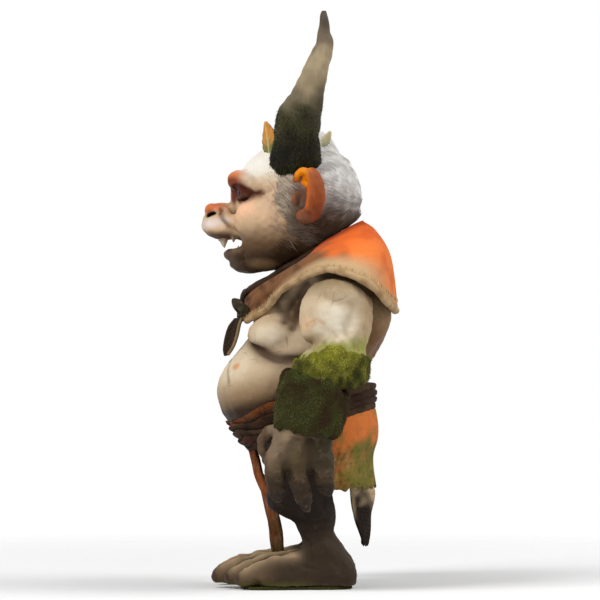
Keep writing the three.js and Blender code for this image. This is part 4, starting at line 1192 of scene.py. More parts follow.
def sculpt_leg():
    """One leg and its three-toed foot."""
    clay = Clay((3, -47, 0.5), (40, 31, 68), 0.65)
    clay.add(slices(LEG))
    foot = [(y, 2 * FOOT_MIDDLE_Z - top, top, half, FOOT_X) for y, top, half in FOOT_TOPS]
    clay.add(slices(foot, along="y"), 4)
    for rows in TOES:
        knuckle, joint, tip = (np.array(rows[k][:3]) for k in (1, 2, 4))
        clay.add(limb(rows), 0.9)
        clay.add(egg(joint + (0, 1, 3), (4.2, 4.2, 3)), 1.5)
        clay.add(egg(knuckle + (0, 2, 3.4), (3.8, 5, 3)), 2)
        clay.add(limb([(*(tip + offset), *sizes) for offset, *sizes in NAIL]), 0.3)
    for groove in TOE_GROOVES:
        clay.crease(groove, 1.3, 2.6)
    # Ankle bones, knee and calf
    clay.add(egg((29.5, 11, 20), (3, 4, 4)), 4)
    clay.add(egg((13.5, 10, 21), (3, 4, 4)), 4)
    clay.add(egg((20.5, -8, 46), (11, 8, 8)), 4)
    clay.add(egg((21.5, 11, 37), (8, 7, 10)), 4)
    # Wrinkles at the ankle and along the foot, and the flat underside
    for level in (25, 29, 33):
        clay.crease([(13, 1, level), (21.5, -4.5, level - 2), (30, 1, level)], 0.9, 0.8)
        clay.crease([(32, 4, level - 1), (30.5, 12, level + 1), (26, 18, level)], 0.8, 0.5)
    clay.crease([(31, -8, 14), (32.5, 2, 12), (31, 12, 10), (26, 22, 9)], 1.2, 0.7)
    clay.crease([(33, -14, 10), (32, -4, 16), (30, 6, 22)], 1.1, 0.8)
    clay.carve(half_space((0, 0, FOOT_BOTTOM), (0, 0, 1)), 0.8)
    clay.uneven(7, 0.22, 11)
    clay.uneven(3, 0.12, 12)
    return clay.skin()


def make_legs():
    """Dark legs, paler toes with a painted highlight along their tops, painted shade in the grooves
    between them, and dark nails.
    """
    shape = sculpt_leg()
    points = shape[0]
    _, y, z = points.T
    coat = Coat(points, "#35291d")
    coat.wash("#1f1610", ease(16, 34, z - 0.3 * y))
    coat.wash("#54422f", 0.8 * ease(-9, -20, y) * ease(28, 16, z))
    # A painted highlight along the top of each toe, and its dark nail
    for rows in TOES:
        ridge = [(row[0], row[1], row[2] + row[3]) for row in rows[:4]]
        coat.stroke("#ab9170", ridge, 4.2, 0.9)
        coat.dab("#3a2228", np.add(rows[4][:3], (0, -1, 0)), (4.2, 3.4, 4), 0.97, 0.35)
    # Painted shade in the grooves between the toes
    for groove in TOE_GROOVES:
        coat.stroke("#150d08", groove, 1.8, 0.9)
    coat.wash("#4b4a20", 0.8 * ease(6, 2, z) * ease(14, -6, y))
    coat.dab("#35281b", (21, 26, 9), (14, 8, 9), 0.6)
    hollow = hollows_of(*shape)
    show_pair(
        "{}_leg_casting", shape, coat, DARK_CASTING, "torso", "{}_leg", hollow
    )


SOLE = [
    (21.5, 26.5), (12, 19), (10.5, 0), (8, -17), (10, -28), (21.5, -29), (33.5, -25),
    (35.5, -17), (33, 0), (31, 19),
]
SOLE_THICKNESS = 1.6


def make_soles():
    """Flocked pads under the feet, with moss standing out round their edge."""
    outline = through([*SOLE, SOLE[0]], 10)[:-1]
    centre = outline.mean(0)
    levels = [(0.0, 0.97), (0.35, 1.0), (1.2, 1.0), (SOLE_THICKNESS, 0.98)]
    rings = [
        np.c_[centre + (outline - centre) * size, np.full(len(outline), z)] for z, size in levels
    ]
    shape = capped(np.vstack(rings), len(levels), len(outline))
    height = shape[0][:, 2]
    coat = Coat(shape[0], "#3a3a1a")
    rim = ((height > 0.9) & (height < 1.4)).astype(float)
    comb = combed(*shape, (0, -0.2, 1))
    for side, sign in SIDES:
        node = f"{side}_sole_pad"
        show(f"{side}_sole", shape, coat, MOSS_GROUND, "torso", node, sign)
        tufts(
            f"{side}_sole_moss", shape, rim, comb, DARK_MOSS, "torso", "dark_moss", 5, sign,
            per_area=420, length=0.7, rise=0.2, droop=0.3, width=0.2, spread=0.4,
        )


# Head

HEAD_UNDERSIDE = 4.5
EYE_CENTRE = np.array([14.5, -25.5, 198.5])
BROW = [
    (0, -30.5, 203.5, 4), (8, -31, 204.5, 5.2), (16, -27.5, 204, 4.8), (22.5, -20.5, 198.5, 2.6),
]
CHEEK_FOLD = [
    (8.5, -39, 189.5), (12.5, -38, 185), (16, -34.2, 180.7), (18, -31, 177.4), (18.5, -29.5, 173),
]
EYE_BAG = [(9, -34, 190.6), (14, -32.5, 192), (20, -27, 195), (25, -19, 198)]
FOREHEAD_LINES = [
    [(0, -31, 212), (10, -29, 213.5), (18, -22, 212)],
    [(0, -27, 216.5), (9, -25, 217.5), (15, -19, 216.5)],
]


def sculpt_head():
    """The face in relief: brow, eyes, snub nose, muzzle, open mouth and chin."""
    clay = Clay((-36, -53, 155), (36, 31, 228), 0.6, mirrored=True)
    # Skull, throat, cheek and jaw
    clay.add(egg((0, -3, 195.5), (28.5, 30, 29)))
    clay.add(egg((0, -9, 173), (21, 19, 13)), 6)
    clay.add(egg((16, -19, 184), (12.5, 13.5, 12)), 6)
    clay.add(egg((14, -14, 171), (11, 13, 9)), 6)
    # Brow, bridge of the nose and eye hollow
    clay.add(limb(BROW), 2.5)
    clay.add(egg((0, -29.6, 196), (5.5, 5.2, 9)), 3)
    clay.carve(egg((18.6, -30.6, 197.4), (10.5, 5.6, 4.6), (0, 6, 43)), 1.6)
    # Nose, its tip and its wings
    clay.add(limb([(0, -33, 189.4, 4), (0, -38.5, 189.6, 3.6), (0, -44, 189.4, 3.4)]), 2)
    clay.add(egg((0, -41.2, 189.8), (6.6, 6.3, 3.3)), 2)
    clay.add(egg((6.2, -39.8, 188.7), (3.9, 4.8, 3.2)), 1.4)
    # Muzzle and upper lip
    clay.add(egg((0, -37.4, 181.8), (13.5, 12.2, 6.2)), 3)
    clay.add(egg((7.5, -36.5, 180.6), (9, 10.6, 5.8)), 3)
    clay.add(egg((0, -41, 185), (11, 7, 3.6)), 3)
    clay.crease([(0, -50, 186), (0, -50, 181), (0, -47.5, 177)], 1.1, 1.1)
    clay.crease(CHEEK_FOLD, 1.4, 1.5)
    # Lower jaw, chin, mouth and lower lip
    clay.add(egg((0, -21, 166.4), (18, 16.4, 7.4)), 4)
    clay.add(egg((0, -26, 163), (10, 8.6, 4.8)), 3)
    clay.carve(egg((0, -40.5, 172.2), (27, 10, 2.7)), 1.2)
    clay.carve(egg((0, -33, 172.2), (12, 7.5, 2.8)), 1.5)
    clay.add(limb([(0, -35.6, 167.6, 2.5), (8, -34, 167.8, 2.4), (14.5, -29, 168.8, 1.9)]), 1.5)
    clay.crease([(0, -36.5, 163.8), (9, -33, 164), (15, -27, 165.5)], 1.5, 1.2)
    # Eyelids round the eye, and the lines about it
    clay.add(egg(EYE_CENTRE, (6.7, 6.7, 6.7)), 1.2)
    clay.carve(egg((15.4, -31.8, 197.9), (5.6, 4.2, 2.1), (0, -8, -28)), 0.6)
    clay.carve(egg(EYE_CENTRE, (5.6, 5.6, 5.6)))
    clay.crease([(8, -33.5, 197), (8.2, -34, 193.5), (8.5, -34, 190.8)], 0.8, -0.8)
    clay.crease(EYE_BAG, 1.2, 1.0)
    for line in FOREHEAD_LINES:
        clay.crease(line, 1.0, 0.55)
    clay.crease([(23, -19, 197), (26, -14, 199)], 0.8, 0.6)
    clay.crease([(23, -19, 194), (26, -13, 193)], 0.8, 0.6)
    # Nostril, and the neck's flat underside with its plug
    clay.carve(egg((6.6, -43.2, 187.2), (3.6, 4.6, 1.6), (0, -10, 22)), 0.6)
    clay.carve(half_space(above_neck(HEAD_UNDERSIDE), NECK_AXIS), 1.5)
    clay.add(rod(above_neck(-5.3), above_neck(12), 15), 1.2)
    clay.uneven(9, 0.2, 21)
    clay.uneven(4, 0.1, 22)
    return clay.skin()


def make_head():
    """The head: pale forehead, orange brow and nose, dark jaw, with painted highlights and painted
    shade on the face.
    """
    shape = sculpt_head()
    points = shape[0]
    _, y, z = points.T
    coat = Coat(points, "#cfae8a")
    # Forehead, cheeks, jaw and chin: a pale forehead, partly paint and partly painted highlight
    coat.wash("#efe6d4", ease(201, 211, z) * ease(16, 2, y))
    coat.dab("#f6f0e6", (14, -24, 214), (22, 14, 10), 0.9)
    coat.dab("#f2bf9a", (20, -26, 189.5), (12, 12, 8), 0.95)
    coat.dab("#dfba98", (24, -14, 190), (10, 11, 13), 0.75)
    coat.wash("#6b4e34", 0.92 * ease(184, 172, z) * ease(-38, -28, y))
    # Painted shade under the jaw and at its back, then a painted highlight under the chin
    coat.wash("#3a2716", 0.94 * ease(178, 165, z))
    coat.dab("#332212", (22, -6, 168), (14, 14, 10), 0.85)
    coat.dab("#a5845c", (14, -18, 163), (13, 11, 5), 0.55)
    # Brow and eye: dark red under the brow and round the eye, partly paint and partly painted shade
    coat.dab("#cf6c26", (11, -32, 207), (17, 9, 4.8), 0.92)
    coat.dab("#7d310f", (12, -33, 202.8), (17, 11, 5.2), 1, 0.6)
    coat.dab("#3f1207", (16, -29.5, 198.2), (12.5, 9, 6.2), 1, 0.4)
    coat.dab("#5a1c0a", (7, -34, 197.4), (7, 5, 6.5), 0.97, 0.5)
    coat.stroke("#54200e", [(18, -28, 198.8), (22, -23.5, 198.3), (24.4, -20, 197.9)], 2.6, 0.95)
    coat.stroke("#d06a34", [(8, -34, 196.5), (8.2, -34.4, 193.5), (8.5, -34.4, 191)], 0.9, 0.9)
    # Nose
    coat.dab("#b08a68", (0, -36, 192.6), (8, 4, 2.4), 0.6)
    coat.dab("#cf6a38", (2, -42.5, 190.6), (11, 8, 4.2), 0.97, 0.5)
    coat.dab("#8f4322", (6, -44, 188.8), (7, 6, 2), 0.8)
    coat.dab("#0a0503", (6.6, -43.4, 187.2), (5.2, 5.6, 2), 1, 0.35)
    # Muzzle and mouth, with painted shade in the cheek fold and inside the mouth
    coat.dab("#e3d6d0", (7, -43, 182.6), (13, 10, 4.4), 0.97, 0.7)
    coat.dab("#dccdc4", (12, -38.5, 184), (6, 6, 4), 0.8)
    # Darker under the upper lip, partly paint and partly painted shade
    lip_edge = ease(180.4, 176.6, z) * ease(-31, -36, y) * ease(170, 173, z)
    coat.wash("#472416", 0.95 * lip_edge)
    # Painted shade in the cheek fold and inside the mouth
    coat.stroke("#5a3a22", CHEEK_FOLD, 1.3, 0.75)
    coat.dab("#1c0d08", (0, -34, 172.3), (15, 8, 3), 0.95, 0.5)
    coat.dab("#4a2f1e", (6, -36, 167.8), (13, 5, 3.4), 0.9)
    show_sculpted("head_casting", shape, coat, FACE_CASTING, "head", "head")
    return shape


EYE_RADIUS, EYE_RINGS, EYE_SIDES = 5.4, 24, 32
GAZE = unit(np.array([0.42, -0.9, -0.05]))


def make_eyes():
    """Glass eyes looking ahead: amber iris, dark pupil and a shadowed white."""
    out = unit(np.cross(GAZE, (0, 0, 1.0)))
    over = np.cross(out, GAZE)
    turn = np.linspace(0.04, math.pi - 0.04, EYE_RINGS)
    angle = circle(EYE_SIDES)[:, None]
    bulge = EYE_RADIUS + 0.35 * hump(turn, 0.5)
    ahead, beside = (bulge * wave(turn) for wave in (np.cos, np.sin))
    ring = np.cos(angle) * out + np.sin(angle) * over
    rings = EYE_CENTRE + ahead[:, None, None] * GAZE + beside[:, None, None] * ring
    shape = capped(rings.reshape(-1, 3), EYE_RINGS, EYE_SIDES)
    points = shape[0]
    reach = np.arccos(np.clip(unit(points - EYE_CENTRE) @ GAZE, -1, 1))
    coat = Coat(points, "#5e3c28")
    coat.wash("#1c0b05", ease(0.72, 0.62, reach))
    coat.wash("#7a3a10", ease(0.6, 0.46, reach))
    coat.wash("#060303", ease(0.36, 0.26, reach))
    # Painted shade where the lids close over the eye
    coat.wash("#160804", 0.85 * ease(0.9, 2.2, abs(points[:, 2] - EYE_CENTRE[2] + 0.6)))
    show_pair("{}_glass_eye", shape, coat, EYE_GLOSS, "head", "{}_eye")


TOOTH_TAPER = [(0, 0.9), (0.25, 1), (0.5, 0.82), (0.75, 0.5), (0.93, 0.2), (1, 0.05)]


def tooth(root, tip, radius, bow=(0, 0, 0)):
    """A pointed tooth from root to tip, bowed to one side."""
    root, tip, bow = np.array(root), np.array(tip), np.array(bow)
    rows = []
    for share, size in TOOTH_TAPER:
        spot = root + share * (tip - root) + bow * math.sin(math.pi * share)
        rows.append([*spot, radius * size])
    fine = through(rows, 3)
    return tube(fine[:, :3], fine[:, 3], 10, hint=(1, 0, 0))


def make_fangs():
    """Four teeth on each side."""
    shape = joined(
        tooth((9, -37.6, 178.6), (8.6, -38, 170.9), 2.5, (0.3, -0.5, 0)),
        tooth((13.2, -33.4, 177.6), (13.2, -33.4, 173.6), 1.1),
        tooth((11, -30.6, 168.6), (11.4, -31, 172.0), 1.0),
        tooth((3.2, -40.2, 178.2), (3.2, -40.6, 174.2), 1.2),
    )
    coat = Coat(shape[0], "#d8c4a0")
    # Painted shade towards the roots, under the lip
    coat.wash("#5d3d22", ease(171.5, 177.5, shape[0][:, 2]))
    show_pair("{}_teeth", shape, coat, IVORY, "head", "{}_fang")


EAR_RIM = [
    (28, -3, 203, 1.5), (32.5, 0.5, 208.6, 1.7), (36, 5, 207, 1.8), (37, 5.6, 199, 1.7),
    (35.6, 4.4, 190, 1.6),
]


def make_ears():
    """Cupped ears, orange at the top."""
    clay = Clay((20, -8, 179), (40, 16, 214), 0.5)
    # Shell and lobe, the bowl in front, the root, the rim and the flap over the bowl
    clay.add(egg((30.8, 6.2, 197), (6.2, 6.6, 13.6), (0, 6, 0)))
    clay.add(egg((31.5, 2.6, 186.5), (4, 4.4, 4)), 3)
    clay.carve(egg((35, -0.6, 199), (6.4, 5.6, 9.6), (0, 6, 8)), 1.2)
    clay.carve(egg((31.5, 0.6, 193.5), (3, 3.6, 5)), 1.5)
    clay.add(egg((26.2, 0.6, 196), (4, 5.6, 11.4)), 1)
    clay.add(limb(EAR_RIM), 1.2)
    clay.add(egg((29, -2.4, 194.5), (2, 2, 3.2)), 1.5)
    clay.crease([(31.5, 4, 205), (33, 4.5, 199), (32, 3.5, 192)], 0.9, 0.9)
    clay.crease([(36.5, 9.5, 204), (36.5, 10, 197), (34.5, 8, 189)], 1.6, 0.5)
    clay.uneven(6, 0.14, 31)
    shape = clay.skin()
    points = shape[0]
    coat = Coat(points, "#9a5029")
    coat.wash("#7a4228", 0.8 * ease(196, 187, points[:, 2]))
    coat.dab("#ff980a", (33, 2, 206), (6.5, 6, 7), 1, 0.5)
    coat.stroke("#e06a1c", [(35, 4.4, 207.5), (37, 5, 200), (36, 4, 192)], 1.6, 0.95)
    # The bowl brown-grey, with painted shade at its bottom
    coat.dab("#5e4434", (29.5, -0.5, 194), (4.4, 4.6, 9), 0.95)
    coat.dab("#35180c", (31, 2, 193), (3, 2.6, 5), 0.85)
    coat.dab("#7d5c48", (31.5, 3, 185), (6, 6, 4.5), 0.9)
    hollow = hollows_of(*shape)
    show_pair("{}_ear_casting", shape, coat, EAR_CASTING, "head", "{}_ear", hollow)


# Rows of x, y, z, half width and half depth
HORN = [
    (15, -1.5, 206, 8.6, 11), (19.5, -1.75, 212, 9.7, 12.4), (23.5, -1.5, 219, 10, 12),
    (27, -1.25, 226, 9.5, 11), (30, -0.25, 234.5, 9, 10.8), (31.5, 1.5, 239.5, 8.6, 9.75),
    (32.3, 3.75, 244.5, 7.8, 8.5), (32.5, 6.75, 254.5, 6.2, 6.5), (31.5, 10, 264.5, 5, 5.2),
    (30.3, 12.5, 272, 4.2, 4.3), (29.3, 12.25, 279.5, 3.1, 3.2), (28.6, 12.2, 285.5, 2.1, 2.1),
    (28.3, 12.2, 288.6, 0.9, 0.9),
]


def make_horns():
    """Curved horns with fibres and growth rings, mossy below."""
    fine = through(HORN, 10)
    level = fine[:, 2]

    def grooved(rows, angle):
        height = level[rows][:, None]
        fibres = 0.035 * np.sin(7 * angle + 1.4 * np.sin(height / 17))
        fibres = fibres + 0.02 * np.sin(17 * angle + height / 9)
        rings = 0.02 * np.sin(height * 1.15 + 0.8 * np.sin(3 * angle)) * ease(232, 250, height)
        return 1 + (fibres + rings) * ease(290, 262, height)

    points, faces = tube(fine[:, :3], fine[:, 3:5], 40, hint=(1, 0, 0), shape=grooved)
    points = points + normals_of(points, faces) * (0.3 * ripple(points, 9, 41))[:, None]
    shape = points, faces
    z = points[:, 2] + 3 * ripple(points, 14, 42)
    coat = Coat(points, "#17130b")
    coat.wash("#3d3922", ease(220, 234, z))
    coat.wash("#6e624a", ease(236, 247, z))
    coat.wash("#a08e70", ease(246, 256, z))
    coat.wash("#6f604e", ease(265, 274, z))
    coat.wash("#4f4336", ease(274, 283, z))
    # Painted shade on the back of the horn, below the pale band
    behind = ease(2, 9, points[:, 1] - (z - 220) * 0.15)
    coat.wash("#2c2417", 0.6 * behind * ease(262, 240, z))
    moss = ease(243, 224, z) * ease(200, 204, points[:, 2])
    fringe = ease(212, 207, points[:, 2])
    comb = combed(points, faces, (0.15, -0.1, -1))
    body, slot = "head", "horn_casting"
    for side, sign in SIDES:
        node = f"{side}_horn"
        show(f"{side}_horn_casting", shape, coat, HORN_PAINT, body, node, sign)
        tufts(
            f"{side}_horn_moss", shape, moss, comb, HORN_MOSS, body, slot, 7, sign,
            per_area=240, length=1.1, rise=0.4, droop=0.2, width=0.26, spread=0.9, tilt=0.5,
        )
        tufts(
            f"{side}_horn_fringe", shape, fringe, comb, HORN_MOSS, body, slot, 11, sign,
            per_area=260, length=2.6, rise=0.8, droop=0.4, width=0.26, spread=0.8, tilt=0.5,
            joints=3,
        )


def off_ear(points):
    """0 where an ear stands on the head and 1 clear of it."""
    return ease(0.85, 1.15, np.hypot((points[:, 1] - 3.4) / 8, (points[:, 2] - 196.5) / 14))


def hair_tone(points):
    """0 on the white crown and 1 at the brown nape, partly paint and partly painted shade; greyer
    behind the ears, which is painted shade.
    """
    nape = ease(34, 3, points[:, 2] - 181 + 0.35 * (points[:, 1] - 5))
    return np.maximum(nape, 0.4 * ease(22, 8, points[:, 1]) * ease(216, 202, points[:, 2]))


def way_back(points, slopes):
    """Combing towards the back, falling by a slope that changes with height."""
    slope = np.interp(points[:, 2], (180, 200, 226), slopes)
    return np.stack([np.zeros(len(points)), np.ones(len(points)), slope], 1)


BEARD = [(22, -12, 203, 0), (24, -11, 194, 0), (22, -12, 184, 0), (20, -9, 177, 0)]
HAIRLINE_LEAN = math.radians(19)


def make_hair(head_shape):
    """A fur wig: a combed cap and the strands that lie on it, with sideburns on the cheeks."""
    clay = Clay((-35, -26, 172), (35, 36, 232), 0.75, mirrored=True)
    clay.add(egg((0, 1, 196), (30.4, 29.8, 29.4)))
    clay.add(egg((0, 9, 217), (11, 8, 11)), 5)
    hairline = (0, math.cos(HAIRLINE_LEAN), -math.sin(HAIRLINE_LEAN))
    clay.carve(half_space((0, -15, 195), hairline), 2.5)
    clay.carve(half_space(above_neck(HEAD_UNDERSIDE), NECK_AXIS), 2)
    clay.uneven(9, 0.14, 51)
    points, faces = clay.skin()
    across = points[:, 2] + 0.45 * points[:, 1]
    lock = np.sin(0.62 * across + 1.8 * ripple(points, 24, 52))
    streak = np.sin(1.7 * across + 2.5 * ripple(points, 18, 53))
    points = points + normals_of(points, faces) * (0.16 * lock)[:, None]
    shape = points, faces
    _, y, z = points.T
    coat = Coat(points, "#efebe5")
    coat.wash("#b9a48c", 0.9 * ease(6, -6, y))
    # Brown towards the nape and greyer behind the ears, partly painted shade, and painted shade
    # round the root of the ear
    coat.wash("#54402f", 0.95 * hair_tone(points) * ease(-10, 0, y))
    coat.dab("#6b5040", (29, 0.5, 197), (6, 7, 12), 0.95)
    show_sculpted("wig_cap", shape, coat, WIG_GROUND, "head", "hair")
    clear = ease(4.7, 5.6, (points - NECK) @ NECK_AXIS) * off_ear(points)
    behind_ear = ease(-5, 4, y + 0.25 * (z - 200))
    comb = combed(points, faces, way_back(points, (0.7, -0.25, -0.75)))
    # The strands take the same tone, partly painted shade, towards the nape and behind the ears
    tone = np.clip(hair_tone(points) + 0.03 + 0.02 * lock + 0.025 * streak, 0, 1)
    tufts(
        "fur_wig", shape, clear * behind_ear, comb, FUR, "head", "fur", 8, tone=tone,
        per_area=200, length=5.5, rise=0.35, droop=-0.25, width=0.26, spread=0.06, joints=3,
    )
    comb = combed(points, faces, way_back(points, (-0.3, -0.9, -1.1)))
    tone = 0.6 * hair_tone(points)
    tufts(
        "temple_fur", shape, clear * (1 - behind_ear), comb, SIDEBURN, "head", "fur", 10, tone=tone,
        per_area=110, length=5, rise=0.5, droop=0.1, width=0.22, spread=0.3, joints=3,
    )
    points, faces = head_shape
    reach = limb(BEARD, 4).distance(*folded(points).T)
    growth = ease(9, 2, reach) * (abs(points[:, 0]) > 14) * off_ear(points)
    comb = combed(points, faces, way_back(points, (-0.8, -0.9, -0.9)))
    tone = 0.7 * ease(184, 174, points[:, 2])
    tufts(
        "sideburns", head_shape, growth, comb, SIDEBURN, "head", "fur", 9, tone=tone,
        per_area=70, length=5, rise=0.5, droop=0.15, width=0.2, spread=0.3, joints=3,
    )


# Root, tip, half width and the way it faces
FRONT_LEAF = ((13, -15, 217.5), (9, -16.5, 234), 5.2, (0.7, -0.7, 0))
BACK_LEAF = ((10, 9, 222.5), (8, 16, 228.5), 4.2, (0.3, 0, 1))


def leaf_shape(root, tip, half_width, facing):
    """A pointed, toothed leaf, cupped across and curled at its tip."""
    root, tip = np.array(root, float), np.array(tip, float)
    along = tip - root
    across = unit(np.cross(along, facing))
    outward = unit(np.cross(across, along))
    t = np.linspace(0, 1, 25)[:, None]
    s = np.linspace(-1, 1, 15)[None, :]
    width = half_width * (0.1 + 0.9 * np.sin(math.pi * (0.2 + 0.8 * t)))
    teeth = 1 + 0.12 * np.abs(np.sin(t * 16)) * np.abs(s)
    lift = -0.3 * np.abs(s) ** 1.3 * width + 0.25 * np.cos(s * 9) * t + 0.9 * t**2
    vein = 0.25 * hump(s, 0.1) + 0.12 * hump(np.sin(14 * t - 5 * np.abs(s)), 0.35)
    grid = (
        root
        + t[:, :, None] * along
        + (s * width * teeth)[:, :, None] * across
        + (lift + vein)[:, :, None] * outward
    )
    return plate(grid, 0.7)


def make_leaves():
    """Two dry leaves on each side of the head."""
    for name, leaf in (("front_leaf", FRONT_LEAF), ("back_leaf", BACK_LEAF)):
        shape, place = leaf_shape(*leaf)
        side, down = out_and_down(place)
        coat = Coat(shape[0], "#b5832f")
        coat.wash("#c9832a", ease(0.3, 0.7, down))
        coat.wash("#4f5f22", 0.95 * ease(0.5, 0.15, down))
        coat.wash("#4a4a22", 0.7 * ease(0.75, 1, side))
        coat.wash("#e0c48a", 0.7 * hump(side, 0.09))
        coat.wash("#d9b878", 0.35 * hump(np.sin(14 * down - 5 * side), 0.3))
        if name == "back_leaf":
            coat.wash("#c6c6a2", np.full(len(down), 0.7))
        show_pair("{}_" + name + "_dry", shape, coat, LEAF, "head", "{}_" + name)


# Arms, moss sleeves, cuffs and hands


ARM_BALL_X = ARM_SEAT_X + 10.4
# Rows of x, y, z, half width and half depth
ARM = [
    (ARM_BALL_X, SHOULDER_Y, SHOULDER_Z, 13, 15),
    (51.7, 19.5, 127, 11.8, 13.6),
    (55.2, 17, 118, 11.6, 12.6),
    (57.2, 11.5, 111, 11.6, 12),
    (*down_cuff(9), 11.8, 11.8),
    (*down_cuff(16), 11.8, 11.8),
]
ELBOW = ((55.4, 22, 114.5), (10.5, 11.5, 9))
ARM_LINES = [
    [(61, 3, 139), (64.5, 10, 133), (64, 17, 127)],
    [(62, 26, 141), (64, 24, 134), (62.5, 22, 127)],
    [(60, 12, 148), (64.5, 17, 144), (63.5, 24, 142)],
]
INNER_ELBOW = [(45, 8, 121), (53, 5.4, 122.5), (61, 6.4, 123.4), (66, 10, 124.4)]


def make_arms():
    """The arms, from the shoulder down into the cuff."""
    clay = Clay((35, -4, 84), (72, 40, 160), 0.7)
    # Shoulder ball, arm, the muscles in front and behind, elbow and shoulder top
    clay.add(egg((ARM_BALL_X, SHOULDER_Y, SHOULDER_Z), (18, 18, 18)))
    clay.add(limb(ARM, 5), 4)
    clay.add(egg((52, 9.8, 130), (11.5, 9, 12), (12, 0, 0)), 3)
    clay.add(egg((51, 26.5, 128), (10.5, 7.5, 13), (-8, 0, 0)), 3)
    clay.add(egg(*ELBOW), 3)
    clay.add(egg((56.5, 20, 147), (7, 9.5, 6)), 4)
    for line in ARM_LINES:
        clay.crease(line, 2.6, 0.5)
    clay.crease(INNER_ELBOW, 3, 2.4)
    clay.carve(half_space((ARM_SEAT_X, 0, 0), (1, 0, 0)), 0.6)
    clay.uneven(11, 0.3, 61)
    clay.uneven(4, 0.12, 62)
    shape = clay.skin()
    points = shape[0]
    x, y, z = points.T
    coat = Coat(points, "#cdb797")
    # Painted highlight on the outside of the arm
    coat.dab("#f1e4cd", (63, 18, 134), (10, 15, 14), 0.9)
    coat.dab("#dcb48c", (56, 3, 132), (10, 7, 7), 0.6)
    # Painted shade: darker on top under the cape, behind and inside; green where the moss begins
    coat.wash("#86704e", 0.85 * ease(142, 154, z))
    coat.wash("#9a7d58", 0.8 * ease(26, 36, y))
    coat.wash("#5e4228", 0.85 * ease(47, 38, x))
    moss_line = z + 0.45 * np.maximum(0, 15 - y) + 1.5 * ripple(points, 5, 63)
    coat.wash("#868c34", 0.85 * ease(129, 121, moss_line))
    coat.wash("#33331a", 0.97 * ease(113, 109, z))
    # Painted shade in the inner elbow
    coat.stroke("#8d6a45", INNER_ELBOW, 3, 0.6)
    coat.stroke("#c9884c", [(60, 4, 132), (63, 8, 135), (64, 12, 133)], 0.9, 0.6)
    # Painted shade in the creases of the upper arm
    for line in ARM_LINES:
        coat.stroke("#a88c66", line, 2, 0.4)
    hollow = hollows_of(*shape)
    show_pair(
        "{}_arm_casting", shape, coat, CREAM_CASTING, "{}_arm", "{}_arm", hollow
    )


MOSS_DEPTH = 1.9


def make_sleeves():
    """Moss on the elbow: a pressed ground and the tufts that grow on it."""
    clay = Clay((37, -6, 96), (74, 42, 128), 0.75)
    clay.add(limb(ARM, 5, MOSS_DEPTH))
    clay.add(egg(ELBOW[0], np.add(ELBOW[1], MOSS_DEPTH)), 3)
    clay.add(egg((56, 23.5, 107), (9, 10.5, 6)), 4)

    def over(x, y, z):
        return 0.9 * (122.5 - 0.42 * abs(y - 17) + 0.8 * np.sin(0.9 * y + 0.5 * x) - z)

    clay.carve(Form(-ENDLESS, ENDLESS, over), 1.0)
    clay.carve(half_space((0, 0, 101), (0, 0, 1)), 1.0)
    clay.carve(half_space((38.5, 0, 0), (1, 0, 0)), 1.0)
    clay.uneven(5, 0.5, 71)
    shape = clay.skin()
    points = shape[0]
    _, y, z = points.T
    bright = hump(y - 17, 15) * hump(z - 118, 11)
    tone = np.clip(1 - bright + 0.25 * ripple(points, 8, 73), 0, 1)
    coat = Coat(points, "#86862a")
    coat.wash("#3a3c1c", tone)
    growth = ease(100, 103, z) * (0.7 + 0.3 * ripple(points, 6, 72))
    comb = combed(*shape, (0.1, -0.3, -1))
    slot = "bright_moss"
    for side, sign in SIDES:
        body, node = f"{side}_arm", f"{side}_elbow_moss"
        show_sculpted(f"{side}_sleeve_ground", shape, coat, MOSS_GROUND, body, node, sign)
        tufts(
            f"{side}_sleeve_moss", shape, growth, comb, BRIGHT_MOSS, body, slot, 13, sign, tone,
            per_area=360, length=1.1, rise=0.5, droop=0.25, width=0.27, spread=0.8, tilt=0.45,
        )


# Rows of the share of the cuff's length, from its top, and the share of its full size
CUFF_OUTSIDE = [
    (1.04, 0.84), (1.0, 0.93), (0.9, 0.985), (0.7, 1.0), (0.45, 1.0), (0.22, 1.01), (0.08, 1.0),
    (0.0, 0.94),
]
CUFF_INSIDE = [(-0.02, 0.86), (0.1, 0.79), (0.5, 0.8), (0.9, 0.79), (1.03, 0.78)]
CUFF_HALF_WIDTH, CUFF_HALF_DEPTH = 15.2, 17.6


